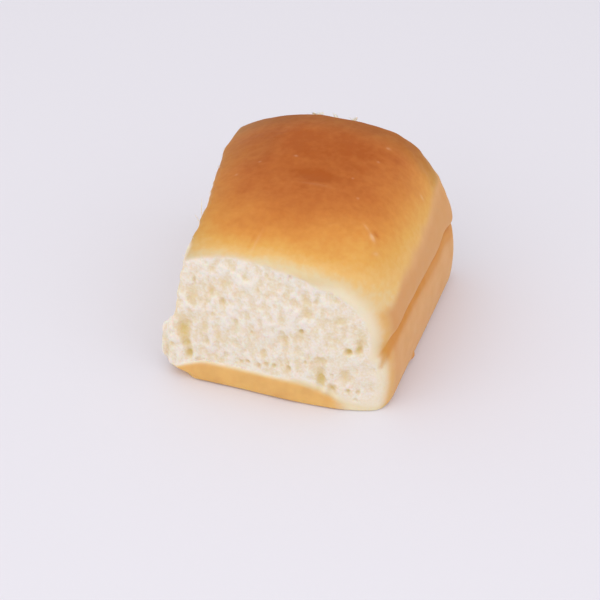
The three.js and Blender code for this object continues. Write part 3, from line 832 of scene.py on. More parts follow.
def skin_masks(form, points):
    """Masks for the material, each from 0 to 1 but for mark, which is below 0 where it darkens."""
    x, y, z = points.T
    crust = form.crust(x, y, z) - skin_lift(x, y, z)
    behind_front = y - form.front_torn(x, z)
    behind_left = x - form.left_torn(y, z)
    behind_back = form.back_torn(x, z) - y
    above_band_top = z - front_band_height(x)
    at_front = AT_FRONT(y)

    below = -crust - ROUNDING * ROUNDING_BEHIND(behind_front) - corner_skin(x, y)
    crumb = smooth(below / mix(CRUMB_FADE, CRUMB_FADE_LEFT, CRUMB_LEFTWARD(x)))
    knob = within(KNOB_SHOWS, form.left_base(y, z) - x, y, z)
    margin = MARGIN_EDGE(-form.baked(x, y, z) - WEDGE * WEDGE_UP(z))
    margin = margin * MARGIN_RIGHTWARD(x) * at_front
    torn_margin = margin * mix(MARGIN_CRUMB_TOP, MARGIN_CRUMB_LOW, MARGIN_DOWNWARD(z))
    crumb = np.maximum.reduce([crumb, torn_margin * MARGIN_ABOVE_BAND(above_band_top), knob])
    nearest = np.minimum.reduce([behind_front, behind_left, behind_back])
    # Painted shade low on the knob, laid on with the pore shade colours.
    knob_shade = KNOB_SHADE * KNOB_SHADE_ACROSS(x) * KNOB_SHADE_UP(z) * knob

    corner = at_front * within(CORNER_BAKED, x, z)
    corner_bake = CORNER_BAKE * (1 - settling(behind_front - CORNER_BAKE_BEHIND, CORNER_BAKE_REACH))
    side_top = SIDE_TOP - SIDE_TOP_DROP * SIDE_TOP_FORWARD(y) + SIDE_TOP_WAVE.wave(x, y, z)
    side = SIDE_DOWNWARD(z - side_top) * SIDE_RIGHTWARD(x)
    foot = mix(FOOT_TOP(z), FOOT_BELOW_BAND(above_band_top), at_front) * FOOT_LEFTWARD(x)
    bake = browning(form, x, y, z, behind_left, behind_back)
    return {
        "mark": sum(mark.pale * mark_shape(mark, x, y) for mark in MARKS) * ON_TOP(z),
        "crumb": crumb,
        # Painted shade deeper in the pores, and low on the knob.
        "pore_shade": np.maximum(np.clip(nearest / PORE_SHADE_DEPTH, 0, 1) * crumb, knob_shade),
        "bake": mix(bake, corner_bake, corner),
        "side": np.maximum(side * (1 - CORNER_LOSS * corner), foot),
        "upper": within(UPPER_SIDE, z - form.fold_height(y), z),
        "foot": foot,
        "fold": fold_shade_and_bake(form, x, y, z),
        "fold_end_shade": fold_end_shade(points),
        "rim": RIM(above_band_top) * (behind_front < RIM_DEPTH) * RIM_LEFTWARD(x),
        "margin": margin * (1 - foot),
        # Painted shade with a grey painted sheen on the dome's left and back edges.
        "shaded": painted_shade(x, y, z, behind_left),
    }


# ---------------------------------------------------------------------------
# Loose shreds of crumb along the torn edges
# ---------------------------------------------------------------------------

# Shreds that stand up along the back edge and off the left one: place, size and lean.
Shred = namedtuple("Shred", "x y length width lean_x lean_y")
EDGE_SHREDS = (
    Shred(-8.6, 32.0, 1.4, 1.3, -1.8, 0.3),
    Shred(-8.0, 32.1, 1.4, 1.3, 1.8, 0.3),
    Shred(-3.0, 32.1, 1.4, 1.0, -1.3, 0.3),
    Shred(1.7, 32.0, 1.5, 1.0, -1.2, 0.3),
    Shred(2.1, 32.0, 1.5, 1.0, 1.0, 0.3),
    Shred(-23.2, -16.2, 4.2, 0.26, -0.12, 0.0),
    Shred(-23.5, -18.2, 1.4, 0.3, -0.5, -0.1),
)
# Where the others are drawn along and up the hidden torn faces, and how they stand.
SHRED_FIRST, SHRED_LAST, SHRED_LOW, SHRED_HIGH = -30, 28, 6, 40
SHRED_EDGE_SHARE, SHRED_BACK_SHARE, SHRED_BELOW_CRUST = 0.04, 0.5, 1
SHRED_ROOT, SHRED_SINK, SHRED_SPREAD = 0.6, 0.5, 0.12
SHRED_EDGE_RISE, SHRED_FACE_RISE = 0.9, 0.2
SHRED_RINGS, SHRED_SIDES, SHRED_CURL, SHRED_BLUNTNESS = 7, 6, 0.5, 0.02
# The shreds take a little of the crumb's painted pore shade.
SHRED_THICKNESS, SHRED_PORE_SHADE = 0.2, 0.05
CRUST_HALVINGS, SHRED_SETTLINGS = 20, 3


def crust_top(form, x, y):
    """Height of the crust over a place."""
    low, high = np.zeros(len(x)), np.full(len(x), form.height + 1)
    for _ in range(CRUST_HALVINGS):
        middle = (low + high) / 2
        below = form.crust(x, y, middle) < 0
        low, high = np.where(below, middle, low), np.where(below, high, middle)
    return low


def shred_roots(form, shreds, rng):
    """Root and direction of each shred, along the torn edges and over the hidden torn faces."""
    count = shreds.count
    along = rng.uniform(SHRED_FIRST, SHRED_LAST, count)
    up = rng.uniform(SHRED_LOW, SHRED_HIGH, count)
    back = rng.random(count) < SHRED_BACK_SHARE
    on_edge = np.arange(count) < int(count * SHRED_EDGE_SHARE)
    for _ in range(SHRED_SETTLINGS):
        x = np.where(back, along, form.left_torn(along, up))
        y = np.where(back, form.back_torn(along, up), along)
        inner_x = np.where(back, x, x + SHRED_ROOT)
        top = crust_top(form, inner_x, np.where(back, y - SHRED_ROOT, y))
        up = np.where(on_edge, top, np.minimum(up, top - SHRED_BELOW_CRUST))
    leftward, backward = np.where(back, 0, -1.0), np.where(back, 1.0, 0)
    rise = np.where(on_edge, SHRED_EDGE_RISE, SHRED_FACE_RISE)
    outward = np.stack([leftward, backward, rise], 1)
    roots = np.stack([x, y, up], 1) - SHRED_ROOT * np.stack([leftward, backward, on_edge], 1)
    for shred in EDGE_SHREDS:
        top = crust_top(form, np.array([shred.x]), np.array([shred.y]))[0]
        roots = np.vstack([roots, [shred.x, shred.y, top - SHRED_ROOT]])
        outward = np.vstack([outward, (shred.lean_x, shred.lean_y, 1.0)])
    outward += rng.normal(0, SHRED_SPREAD, outward.shape)
    return roots, outward / np.linalg.norm(outward, axis=1)[:, None]


def shred_mesh(root, direction, length, width, thickness, rng):
    """Points and quads of one closed, curling, tapered shred."""
    across = np.cross(direction, rng.normal(size=3))
    across /= np.linalg.norm(across)
    normal = np.cross(direction, across)
    curl = rng.uniform(-SHRED_CURL, SHRED_CURL)
    t = np.linspace(-SHRED_SINK, 1, SHRED_RINGS)
    spine = root + length * (t[:, None] * direction + curl * (t * np.abs(t))[:, None] * normal)
    taper = np.sqrt(np.clip(1 - np.maximum(t, 0) ** 2, SHRED_BLUNTNESS, 1))
    angle = 2 * np.pi * np.arange(SHRED_SIDES) / SHRED_SIDES
    ring_across = np.cos(angle)[None, :, None] * across * width / 2
    ring_up = np.sin(angle)[None, :, None] * normal * thickness / 2
    points = spine[:, None] + taper[:, None, None] * (ring_across + ring_up)
    ring, side = np.indices((SHRED_RINGS - 1, SHRED_SIDES))
    start, after = ring * SHRED_SIDES + side, ring * SHRED_SIDES + (side + 1) % SHRED_SIDES
    quads = np.stack([start, after, after + SHRED_SIDES, start + SHRED_SIDES], -1).reshape(-1, 4)
    ends = []
    for base, turned in ((0, True), ((SHRED_RINGS - 1) * SHRED_SIDES, False)):
        for corner in range(1, SHRED_SIDES - 1, 2):
            cap = [base, base + corner, base + corner + 1, base + (corner + 2) % SHRED_SIDES]
            ends.append(cap[::-1] if turned else cap)
    return points.reshape(-1, 3), np.vstack([quads, ends])


# ---------------------------------------------------------------------------
# Materials
# ---------------------------------------------------------------------------

# Unevenness of the colours: turns of the noise for each metre, its detail, and its range
# before and after.
Grain = namedtuple("Grain", "turns detail from_low from_high to_low to_high")
CLOUD = Grain(90, 3, 0.3, 0.7, -0.05, 0.05)
BLOTCH = Grain(260, 2, 0.3, 0.7, -0.035, 0.035)
SPECK = Grain(600, 3, 0.35, 0.65, -0.03, 0.03)
MOTTLE = Grain(220, 3, 0.35, 0.7, 0.0, 0.4)
PORE_SHADE_GRAIN = Grain(1500, 2, 0.3, 0.7, -0.14, 0.14)
MARK_DARKENING = -0.35

# Places of the colours along the browning of the dome, and along the painted shade down the pores
# of the crumb.
DOME_STOPS = (
    (0.0, "rim_colour"),
    (0.17, "straw_colour"),
    (0.33, "gold_colour"),
    (0.5, "amber_colour"),
    (0.67, "orange_colour"),
    (0.83, "russet_colour"),
    (1.0, "brown_colour"),
)
CRUMB_STOPS = (
    (0.0, "crumb_colour"),
    (0.08, "crumb_colour"),
    (0.42, "pore_shade_colour"),
    (1.0, "deep_pore_shade_colour"),
)

# Bumps: turns of the noise for each metre, height in metres, and the strength of the skin's.
BUMP_DETAIL, BUMP_ROUGHNESS = 3, 0.6
SKIN_BUMP_TURNS, SKIN_BUMP_HEIGHT, SKIN_BUMP_STRENGTH = 900, 0.12 * MM, 0.5
CRUMB_BUMP_TURNS, CRUMB_BUMP_HEIGHT, CRUMB_BUMP_STRETCH = 1500, 0.35 * MM, (1, 1, 0.7)

BREAD_SPECULAR = 0.05
FLOOR_ROUGHNESS, FLOOR_SPECULAR = 0.6, 0.2


class Nodes:
    """Small helper that adds and links the nodes of one material."""

    def __init__(self, material):
        material.use_nodes = True
        self.tree = material.node_tree
        self.tree.nodes.clear()

    def add(self, kind, **settings):
        node = self.tree.nodes.new(kind)
        for name, value in settings.items():
            setattr(node, name, value)
        return node

    def link(self, source, target):
        self.tree.links.new(source, target)

    def mask(self, name):
        """Number kept on the points of the mesh."""
        return self.add("ShaderNodeAttribute", attribute_name=name).outputs["Fac"]

    def feed(self, socket, value):
        """Gives an input a link, a number or a colour."""
        if isinstance(value, bpy.types.NodeSocket):
            self.link(value, socket)
        elif isinstance(value, (int, float)):
            socket.default_value = value
        else:
            socket.default_value = (*value[:3], 1)

    def math(self, operation, first, second=0.0, clamp=False):
        node = self.add("ShaderNodeMath", operation=operation, use_clamp=clamp)
        for socket, value in zip(node.inputs, (first, second)):
            self.feed(socket, value)
        return node.outputs[0]

    def noise(self, scale, detail=2.0, roughness=0.5, stretch=(1, 1, 1)):
        """Noise from 0 to 1 in object space; scale is in turns for each metre."""
        node = self.add("ShaderNodeTexNoise")
        for name, value in (("Scale", scale), ("Detail", detail), ("Roughness", roughness)):
            self.feed(node.inputs[name], value)
        self.link(self.place(stretch), node.inputs["Vector"])
        return node.outputs["Fac"]

    def place(self, stretch):
        """Object-space place, stretched along each axis."""
        source = self.add("ShaderNodeTexCoord").outputs["Object"]
        mapping = self.add("ShaderNodeMapping")
        mapping.inputs["Scale"].default_value = stretch
        self.link(source, mapping.inputs["Vector"])
        return mapping.outputs["Vector"]

    def ramp(self, factor, stops, looks):
        """Colours along a factor; stops are pairs of a place and the name of a colour."""
        node = self.add("ShaderNodeValToRGB")
        node.color_ramp.interpolation = "LINEAR"
        elements = node.color_ramp.elements
        while len(elements) < len(stops):
            elements.new(0.5)
        for element, (place, name) in zip(elements, stops):
            element.position = place
            element.color = (*getattr(looks, name), 1)
        self.link(factor, node.inputs["Fac"])
        return node.outputs["Color"]

    def blend(self, factor, first, second, mode="MIX"):
        """Second colour over the first by a factor."""
        node = self.add("ShaderNodeMix", data_type="RGBA", blend_type=mode)
        for socket, value in zip((node.inputs[0], *node.inputs[6:8]), (factor, first, second)):
            self.feed(socket, value)
        return node.outputs[2]

    def blend_numbers(self, factor, first, second):
        """Second number over the first by a factor."""
        node = self.add("ShaderNodeMix", data_type="FLOAT")
        for socket, value in zip((node.inputs[0], *node.inputs[2:4]), (factor, first, second)):
            self.feed(socket, value)
        return node.outputs[0]

    def spread(self, value, from_low, from_high, to_low, to_high):
        """Value carried from one range to another, kept inside it."""
        node = self.add("ShaderNodeMapRange", clamp=True)
        names = ("Value", "From Min", "From Max", "To Min", "To Max")
        for name, given in zip(names, (value, from_low, from_high, to_low, to_high)):
            self.feed(node.inputs[name], given)
        return node.outputs["Result"]

    def grain(self, grain):
        """Noise carried to the range of a grain."""
        return self.spread(self.noise(grain.turns, grain.detail), *grain[2:])

    def bump(self, height, distance, strength, normal=None):
        """Normal turned by a height."""
        node = self.add("ShaderNodeBump")
        for name, value in (("Height", height), ("Distance", distance), ("Strength", strength)):
            self.feed(node.inputs[name], value)
        if normal:
            self.link(normal, node.inputs["Normal"])
        return node.outputs["Normal"]

    def surface(self, shader):
        """Ends the material in a shader."""
        output = self.add("ShaderNodeOutputMaterial")
        self.link(shader.outputs["BSDF"], output.inputs["Surface"])


def browned(nodes, looks):
    """Colour of the dome from its browning and its marks, with painted shade towards its left and
    back edges.
    """
    uneven = nodes.math("ADD", nodes.grain(CLOUD), nodes.grain(BLOTCH))
    uneven = nodes.math("MULTIPLY", nodes.mask("bake"), uneven)
    bake = nodes.math("ADD", nodes.mask("bake"), uneven)
    dark = nodes.math("MINIMUM", nodes.mask("mark"), 0.0)
    bake = nodes.math("ADD", bake, nodes.math("MULTIPLY", dark, MARK_DARKENING))
    bake = nodes.math("ADD", bake, nodes.grain(SPECK), clamp=True)
    dome = nodes.ramp(bake, DOME_STOPS, looks)
    # Painted shade and grey painted sheen multiplied over the dome's left and back edges.
    return nodes.blend(nodes.mask("shaded"), dome, looks.shade_colour, "MULTIPLY")


def bread_material(looks):
    """Baked crust that fades through a cream rim into soft torn crumb."""
    material = bpy.data.materials.get("Bread crust and crumb")
    if material:
        return material
    material = bpy.data.materials.new("Bread crust and crumb")
    nodes = Nodes(material)
    side = nodes.blend(nodes.mask("upper"), looks.side_colour, looks.upper_side_colour)
    side = nodes.blend(nodes.mask("foot"), side, looks.foot_colour)
    side = nodes.blend(nodes.grain(MOTTLE), side, looks.side_fleck_colour)
    colour = nodes.blend(nodes.mask("side"), browned(nodes, looks), side)
    # Painted shade and warm bounce light in the pores, growing with depth below the torn face.
    depth = nodes.math("ADD", nodes.mask("pore_shade"), nodes.grain(PORE_SHADE_GRAIN))
    for cover, over in (
        (nodes.math("MAXIMUM", nodes.mask("mark"), 0.0), looks.mark_colour),
        # Painted crease shade and browning of the fold.
        (nodes.mask("fold"), looks.fold_shade_colour),
        (nodes.mask("rim"), looks.rim_colour),
        (nodes.mask("margin"), looks.margin_colour),
        (nodes.mask("crumb"), nodes.ramp(depth, CRUMB_STOPS, looks)),
        # Streak where the fold runs out, browning with painted crease shade.
        (nodes.mask("fold_end_shade"), looks.fold_end_shade_colour),
    ):
        colour = nodes.blend(cover, colour, over)
    gloss = nodes.spread(nodes.mask("side"), 0, 1, looks.dome_roughness, looks.side_roughness)

    crumb = nodes.mask("crumb")
    skin_height = nodes.noise(SKIN_BUMP_TURNS, BUMP_DETAIL, BUMP_ROUGHNESS)
    skin_normal = nodes.bump(skin_height, SKIN_BUMP_HEIGHT, SKIN_BUMP_STRENGTH)
    crumb_height = nodes.noise(CRUMB_BUMP_TURNS, BUMP_DETAIL, BUMP_ROUGHNESS, CRUMB_BUMP_STRETCH)

    shader = nodes.add("ShaderNodeBsdfPrincipled")
    for name, source in (
        ("Base Color", colour),
        ("Roughness", nodes.blend_numbers(crumb, gloss, looks.crumb_roughness)),
        ("Normal", nodes.bump(crumb_height, CRUMB_BUMP_HEIGHT, crumb, skin_normal)),
    ):
        nodes.link(source, shader.inputs[name])
    for name, value in (
        ("Specular IOR Level", BREAD_SPECULAR),
        ("Subsurface Weight", looks.subsurface),
        ("Subsurface Radius", looks.subsurface_spread),
        ("Subsurface Scale", looks.subsurface_reach),
    ):
        shader.inputs[name].default_value = value
    nodes.surface(shader)
    return material


def floor_material(stage):
    """Plain pale matt floor."""
    material = bpy.data.materials.new("Pale floor")
    nodes = Nodes(material)
    shader = nodes.add("ShaderNodeBsdfPrincipled")
    for name, value in (
        ("Base Color", (*stage.floor_colour, 1)),
        ("Roughness", FLOOR_ROUGHNESS),
        ("Specular IOR Level", FLOOR_SPECULAR),
    ):
        shader.inputs[name].default_value = value
    nodes.surface(shader)
    return material


# ---------------------------------------------------------------------------
# Settings
# ---------------------------------------------------------------------------


def length(name, description, millimetres, low=0.0, high=200.0):
    """A length property, given in millimetres and kept in metres."""
    return bpy.props.FloatProperty(
        name=name,
        description=description,
        default=millimetres * MM,
        min=low * MM,
        max=high * MM,
        precision=5,
        subtype="DISTANCE",
        unit="LENGTH",
    )


def colour(name, description, default):
    """A colour property, in linear light."""
    return bpy.props.FloatVectorProperty(
        name=name, description=description, default=default, min=0, max=1, size=3, subtype="COLOR"
    )


def share(name, description, default):
    """A plain share from 0 to 1."""
    return bpy.props.FloatProperty(
        name=name, description=description, default=default, min=0, max=1, subtype="FACTOR"
    )


def amount(name, description, default, unit="NONE"):
    """A number from 0."""
    return bpy.props.FloatProperty(
        name=name, description=description, default=default, min=0, unit=unit
    )


def angle(name, description, degrees):
    """An angle, given in degrees."""
    return bpy.props.FloatProperty(
        name=name, description=description, default=math.radians(degrees), subtype="ANGLE"
    )


def whole(name, description, default, low=0):
    """A whole number."""
    return bpy.props.IntProperty(name=name, description=description, default=default, min=low)


class BreadShapeSettings(bpy.types.PropertyGroup):
    """Sizes of the roll as a whole."""

    width: length("Width", "From the torn left to the baked side", (CAD_HIGH.x - CAD_LOW.x) / MM)
    depth: length("Depth", "From the torn front to the torn back", (CAD_HIGH.y - CAD_LOW.y) / MM)
    height: length("Height", "From the underside to the crown", (CAD_HIGH.z - CAD_LOW.z) / MM)
    fold_height: length("Fold height", "Height of the fold at the front of the baked side", 15.3)
    lip_radius: length("Lip radius", "Rounding where the crust meets a torn face", 0.9)
    pitch: length("Pitch", "Spacing of the grid that the surface is drawn from", 0.3, 0.2)
    triangles: whole("Triangles", "Most triangles that the roll may have", 190000, 1000)


class BreadCrumbSettings(bpy.types.PropertyGroup):
    """Sizes of the pores and fibres of the torn crumb."""

    seed: whole("Seed", "Start of the random numbers", 7)
    large_density: amount("Pores", "Pores for each square millimetre", 0.09)
    large_smallest: length("Smallest pore", "Smallest radius of a pore", 0.55)
    large_largest: length("Largest pore", "Largest radius of a pore", 1.2)
    fine_density: amount("Fine pores", "Fine pores for each square millimetre", 1.2)
    fine_smallest: length("Smallest fine pore", "Smallest radius of a fine pore", 0.32)
    fine_largest: length("Largest fine pore", "Largest radius of a fine pore", 0.7)
    fibre_size: length("Fibre size", "Spacing of the fibres between the pores", 1.8)
    fibre_height: length("Fibre height", "How far the fibres stand out", 0.17)
    skin: length("Skin", "Thickness of crust that pores stay clear of", 0.7)


class BreadShredSettings(bpy.types.PropertyGroup):
    """Number and sizes of the loose shreds of crumb."""

    seed: whole("Seed", "Start of the random numbers", 21)
    count: whole("Shreds", "Shreds on the left and back", 110)
    shortest: length("Shortest", "Length of the shortest shred", 0.5)
    longest: length("Longest", "Length of the longest shred", 1.5)
    narrowest: length("Narrowest", "Width of the narrowest shred", 0.16)
    widest: length("Widest", "Width of the widest shred", 0.7)


class BreadLooksSettings(bpy.types.PropertyGroup):
    """Colours and finish of the crust and the crumb."""

    rim_colour: colour("Rim", "Unbaked skin along a torn edge", (0.77, 0.625, 0.385))
    straw_colour: colour("Straw", "Palest baked crust", (0.81, 0.51, 0.19))
    gold_colour: colour("Gold", "Light baked crust", (0.77, 0.405, 0.105))
    amber_colour: colour("Amber", "Baked crust", (0.715, 0.305, 0.07))
    orange_colour: colour("Orange", "Well baked crust", (0.62, 0.222, 0.05))
    russet_colour: colour("Russet", "Crust round the crown", (0.53, 0.162, 0.036))
    brown_colour: colour("Brown", "Darkest crust, on the crown", (0.42, 0.103, 0.018))
    # Tint of the painted shade and grey painted sheen on the dome's left and back edges.
    shade_colour: colour("Dusk", "Tint over the dull left and back edges", (0.4, 0.42, 0.5))
    side_colour: colour("Side", "Crust of the lower layer of the baked side", (0.73, 0.39, 0.18))
    upper_side_colour: colour("Upper side", "Crust of its upper layer", (0.675, 0.345, 0.15))
    side_fleck_colour: colour("Side fleck", "Mottling of the baked side", (0.66, 0.32, 0.11))
    foot_colour: colour("Foot", "Band of crust under the torn front", (0.84, 0.51, 0.18))
    mark_colour: colour("Marks", "Pale blisters and scratches of the dome", (0.82, 0.56, 0.36))
    # Painted crease shade of the fold, over the brown of the skin below it.
    fold_shade_colour: colour("Fold", "Inside of the fold", (0.64, 0.26, 0.055))
    # Browning and painted crease shade where the fold runs out down the front corner.
    fold_end_shade_colour: colour("Fold end", "Streak in which the fold runs out", (0.67, 0.35, 0.09))
    margin_colour: colour("Margin", "Smooth torn skin beside the baked side", (0.85, 0.73, 0.51))
    crumb_colour: colour("Crumb", "Torn crumb", (0.905, 0.827, 0.737))
    # Painted shade and warm bounce light in the pores of the crumb, shallow and deep.
    pore_shade_colour: colour("Pits", "Shallow pores of the crumb", (0.84, 0.70, 0.495))
    deep_pore_shade_colour: colour("Deep pores", "Bottom of the deep pores", (0.78, 0.60, 0.26))
    dome_roughness: share("Dome roughness", "Roughness of the baked top", 0.5)
    side_roughness: share("Side roughness", "Roughness of the baked side", 0.65)
    crumb_roughness: share("Crumb roughness", "Roughness of the torn crumb", 0.9)
    subsurface: share("Subsurface", "Share of light that passes through the bread", 0.5)
    subsurface_spread: bpy.props.FloatVectorProperty(
        name="Subsurface spread",
        description="How far each colour travels",
        default=(1.0, 0.6, 0.35),
        size=3,
        subtype="XYZ",
    )
    subsurface_reach: length("Subsurface reach", "How far light travels in the bread", 1.2)


class BreadStageSettings(bpy.types.PropertyGroup):
    """Floor, light and camera. Directions run from the front towards the right."""

    floor_colour: colour("Floor", "Colour of the floor", (0.80, 0.775, 0.84))
    floor_size: length("Floor size", "Side of the square floor", 3000, high=10000)
    sky: amount("Sky", "Strength of the even light", 0.78)
    key_power: amount("Key", "Power of the large soft lamp on the left", 2.0, "POWER")
    fill_power: amount("Fill", "Power of the large soft lamp on the right", 1.6, "POWER")
    key_azimuth: angle("Key azimuth", "Direction of the left lamp", -30)
    fill_azimuth: angle("Fill azimuth", "Direction of the right lamp", 70)
    lamp_elevation: angle("Lamp elevation", "Height of the lamps", 48)
    lamp_distance: length("Lamp distance", "From the roll to each lamp", 900, high=5000)
    lamp_size: length("Lamp size", "Side of each lamp", 900, high=5000)
    azimuth: angle("Azimuth", "Direction of the camera", 19.5)
    elevation: angle("Elevation", "Height of the camera", 39)
    distance: length("Distance", "From the aim to the camera", 560, high=5000)
    aim: bpy.props.FloatVectorProperty(
        name="Aim",
        description="Point on the floor in the middle of the view",
        default=(-4.45 * MM, 6.75 * MM, 0),
        size=3,
        subtype="XYZ",
        unit="LENGTH",
    )
    lens: amount("Lens", "Focal length in millimetres", 121.8, "CAMERA")


# ---------------------------------------------------------------------------
# Operators
# ---------------------------------------------------------------------------


def settings(context):
    """The scene's settings for the roll."""
    return context.scene.bread_roll


def roll_form(shape):
    """Form of the roll from the scene's settings."""
    return RollForm(shape.width / MM, shape.depth / MM, shape.height / MM, shape.fold_height / MM)


def roll_field(form, shape, crumb):
    """Signed field of the whole roll on its grid."""
    grid = Grid(form, shape.pitch / MM)
    field, crust = torn_roll(form, *grid.axes(), shape.lip_radius / MM)
    field = np.ascontiguousarray(field, np.float32)
    lift_crust(field, crust, grid)
    uneven = ragged_field(form, grid)
    for centre, radii, depth in front_bowls(form):
        press_bowl(field, grid, uneven, centre, radii, depth, PLACED_BOWL_POWER)
    roughen(field, crust, grid, crumb)
    for number, face in enumerate(("front", "back", "left")):
        rng = np.random.default_rng(crumb.seed + number)
        for centre, radii, depth in drawn_bowls(form, crumb, face, rng):
            press_bowl(field, grid, uneven, centre, radii, depth, DRAWN_BOWL_POWER)
    return field, grid


def largest_part(vertices, faces):
    """The largest connected part of a mesh, without its loose scraps."""
    parent = np.arange(len(vertices))
    while True:
        lowest = parent[faces].min(1)
        changed = parent.copy()
        for side in range(faces.shape[1]):
            np.minimum.at(changed, faces[:, side], lowest)
        changed = changed[changed]
        if (changed == parent).all():
            break
        parent = changed
    names, counts = np.unique(parent, return_counts=True)
    kept = parent == names[counts.argmax()]
    number = np.cumsum(kept) - 1
    return vertices[kept], number[faces[kept[faces[:, 0]]]]


def thin(piece, shares, triangles):
    """Thins a mesh to a number of triangles, only where the shares of its points are above 0."""
    group = piece.vertex_groups.new(name="thin")
    for level in range(1, THIN_LEVELS + 1):
        rows = np.nonzero(np.round(shares * THIN_LEVELS) == level)[0]
        group.add(rows.tolist(), level / THIN_LEVELS, "REPLACE")
    modifier = piece.modifiers.new("Thin", "DECIMATE")
    modifier.vertex_group = group.name
    modifier.vertex_group_factor = THIN_STRENGTH
    modifier.ratio = min(triangles / triangle_count(piece.data), 1)
    modifier.use_collapse_triangulate = True
    apply_modifiers(piece)
    piece.vertex_groups.clear()


def crust_share(form, points):
    """1 on the even crust, 0 on crumb, along the fold and round the marks."""
    x, y, z = points.T
    even = 1 - BELOW_CRUST(-form.crust(x, y, z))
    even = even * (1 - FOLD_FINE(z - form.fold_height(y)) * (x > FOLD_FINE_X))
    for mark in MARKS:
        even = even * (1 - ON_TOP(z) * np.minimum(2 * mark_shape(mark, x, y), 1))
    return even


def thin_roll(piece, form, shape):
    """Thins the even crust first, and then the crumb, to the triangles that the roll may have."""
    even = crust_share(form, vertex_array(piece.data))
    total = triangle_count(piece.data)
    crust_triangles = total * (even > 0.5).mean()
    thin(piece, even, total - crust_triangles * (1 - CRUST_KEPT))
    even = crust_share(form, vertex_array(piece.data))
    thin(piece, 1 - even, shape.triangles)


class OBJECT_OT_bread_roll(bpy.types.Operator):
    """Model the roll: dome, fold, feet and torn crumb, as one closed mesh."""

    bl_idname = "object.bread_roll"
    bl_label = "Bread roll"

    def execute(self, context):
        own = settings(context)
        form = roll_form(own.shape)
        field, grid = roll_field(form, own.shape, own.crumb)
        vertices, faces = largest_part(*surface_net(field, grid))
        vertices[:, 2] = np.maximum(vertices[:, 2], 0)
        piece = new_mesh_object("roll_crust_and_crumb", vertices, faces)
        thin_roll(piece, form, own.shape)
        for name, values in skin_masks(form, vertex_array(piece.data)).items():
            store_mask(piece.data, name, values)
        piece.data.transform(Matrix.Scale(MM, 4))
        piece.data.shade_smooth()
        piece.data.materials.append(bread_material(own.looks))
        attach(piece, BODY)
        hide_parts(NODE)
        return {"FINISHED"}


class OBJECT_OT_crumb_shreds(bpy.types.Operator):
    """Scatter the thin shreds of crumb that stand off the torn edges and the hidden torn faces."""

    bl_idname = "object.crumb_shreds"
    bl_label = "Crumb shreds"

    def execute(self, context):
        own = settings(context)
        form, shreds = roll_form(own.shape), own.shreds
        rng = np.random.default_rng(shreds.seed)
        roots, directions = shred_roots(form, shreds, rng)
        lengths = mix(shreds.shortest / MM, shreds.longest / MM, rng.random(len(roots)) ** 2)
        widths = mix(shreds.narrowest / MM, shreds.widest / MM, rng.random(len(roots)) ** 2)
        chosen = len(EDGE_SHREDS)
        lengths[-chosen:] = [shred.length for shred in EDGE_SHREDS]
        widths[-chosen:] = [shred.width for shred in EDGE_SHREDS]
        points, quads, start = [], [], 0
        for root, direction, size, width in zip(roots, directions, lengths, widths):
            thickness = min(width, SHRED_THICKNESS)
            ring_points, faces = shred_mesh(root, direction, size, width, thickness, rng)
            points.append(ring_points)
            quads.append(faces + start)
            start += len(ring_points)
        piece = new_mesh_object("crumb_shreds", np.vstack(points) * MM, np.vstack(quads))
        for name, value in (("crumb", 1.0), ("pore_shade", SHRED_PORE_SHADE)):
            store_mask(piece.data, name, np.full(start, value))
        piece.data.materials.append(bread_material(own.looks))
        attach(piece, BODY)
        return {"FINISHED"}


def place_round(aim, distance, azimuth, elevation):
    """Point at a distance from the aim, azimuth 0 being the front and growing towards the right."""
    flat = math.cos(elevation)
    direction = Vector((math.sin(azimuth) * flat, -math.cos(azimuth) * flat, math.sin(elevation)))
    return aim + distance * direction


def turned_to(place, aim):
    """Rotation of a camera or lamp at a place that looks at the aim."""
    return (aim - place).to_track_quat("-Z", "Y").to_euler()


def add_floor(stage):
    """Wide pale floor under the roll."""
    half = stage.floor_size / 2
    corners = np.array([(-half, -half, 0), (half, -half, 0), (half, half, 0), (-half, half, 0)])
    floor = new_mesh_object("stage_floor", corners, np.array([[0, 1, 2, 3]]))
    floor.data.materials.append(floor_material(stage))


def add_lights(stage):
    """Even sky and two large soft lamps."""
    world = bpy.data.worlds.new("Soft studio")
    world.use_nodes = True
    background = world.node_tree.nodes["Background"]
    background.inputs["Color"].default_value = (1, 1, 1, 1)
    background.inputs["Strength"].default_value = stage.sky
    bpy.context.scene.world = world
    middle = Vector((0, 0, (CAD_HIGH.z + CAD_LOW.z) / 2))
    for name, power, azimuth in (
        ("Key", stage.key_power, stage.key_azimuth),
        ("Fill", stage.fill_power, stage.fill_azimuth),
    ):
        data = bpy.data.lights.new(name, "AREA")
        data.shape = "SQUARE"
        data.size = stage.lamp_size
        data.energy = power
        lamp = bpy.data.objects.new(name, data)
        lamp.location = place_round(middle, stage.lamp_distance, azimuth, stage.lamp_elevation)
        lamp.rotation_euler = turned_to(lamp.location, middle)
        bpy.context.scene.collection.objects.link(lamp)


def add_camera(stage):
    """Camera on the roll's right front."""
    data = bpy.data.cameras.new("Camera")
    data.lens = stage.lens
    data.clip_start = 0.01
    camera = bpy.data.objects.new("Camera", data)
    aim = Vector(stage.aim)
    camera.location = place_round(aim, stage.distance, stage.azimuth, stage.elevation)
    camera.rotation_euler = turned_to(camera.location, aim)
    bpy.context.scene.collection.objects.link(camera)
    bpy.context.scene.camera = camera


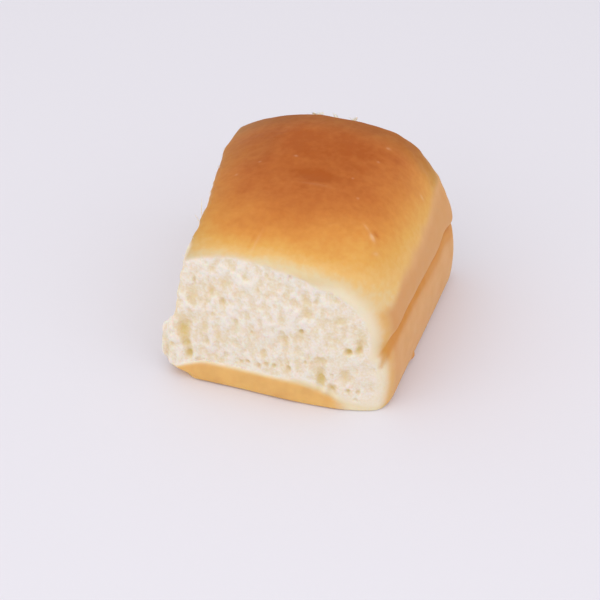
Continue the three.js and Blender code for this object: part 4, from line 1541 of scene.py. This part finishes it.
class OBJECT_OT_bread_stage(bpy.types.Operator):
    """Set the floor, the lights and the camera."""

    bl_idname = "object.bread_stage"
    bl_label = "Stage"

    def execute(self, context):
        stage = settings(context).stage
        add_floor(stage)
        add_lights(stage)
        add_camera(stage)
        context.scene.view_settings.view_transform = "Standard"
        return {"FINISHED"}


class BreadRollSettings(bpy.types.PropertyGroup):
    """All settings of the roll."""

    shape: bpy.props.PointerProperty(type=BreadShapeSettings)
    crumb: bpy.props.PointerProperty(type=BreadCrumbSettings)
    shreds: bpy.props.PointerProperty(type=BreadShredSettings)
    looks: bpy.props.PointerProperty(type=BreadLooksSettings)
    stage: bpy.props.PointerProperty(type=BreadStageSettings)


class VIEW3D_PT_bread_roll(bpy.types.Panel):
    """Settings and makers of the roll."""

    bl_label = "Bread roll"
    bl_space_type = "VIEW_3D"
    bl_region_type = "UI"
    bl_category = "Bread"

    def draw(self, context):
        own = settings(context)
        for title, group in (
            ("Shape", own.shape),
            ("Crumb", own.crumb),
            ("Shreds", own.shreds),
            ("Looks", own.looks),
            ("Stage", own.stage),
        ):
            box = self.layout.box()
            box.label(text=title)
            for name in group.__annotations__:
                box.prop(group, name)
        for operator in OPERATORS:
            self.layout.operator(operator.bl_idname)


OPERATORS = (OBJECT_OT_bread_roll, OBJECT_OT_crumb_shreds, OBJECT_OT_bread_stage)
CLASSES = (
    BreadShapeSettings,
    BreadCrumbSettings,
    BreadShredSettings,
    BreadLooksSettings,
    BreadStageSettings,
    BreadRollSettings,
    *OPERATORS,
    VIEW3D_PT_bread_roll,
)


def register():
    for item in CLASSES:
        bpy.utils.register_class(item)
    bpy.types.Scene.bread_roll = bpy.props.PointerProperty(type=BreadRollSettings)


def unregister():
    del bpy.types.Scene.bread_roll
    for item in reversed(CLASSES):
        bpy.utils.unregister_class(item)


def main():
    """Makes the roll, its shreds and its stage."""
    register()
    bpy.ops.object.bread_roll()
    bpy.ops.object.crumb_shreds()
    bpy.ops.object.bread_stage()


if __name__ == "__main__":
    main()
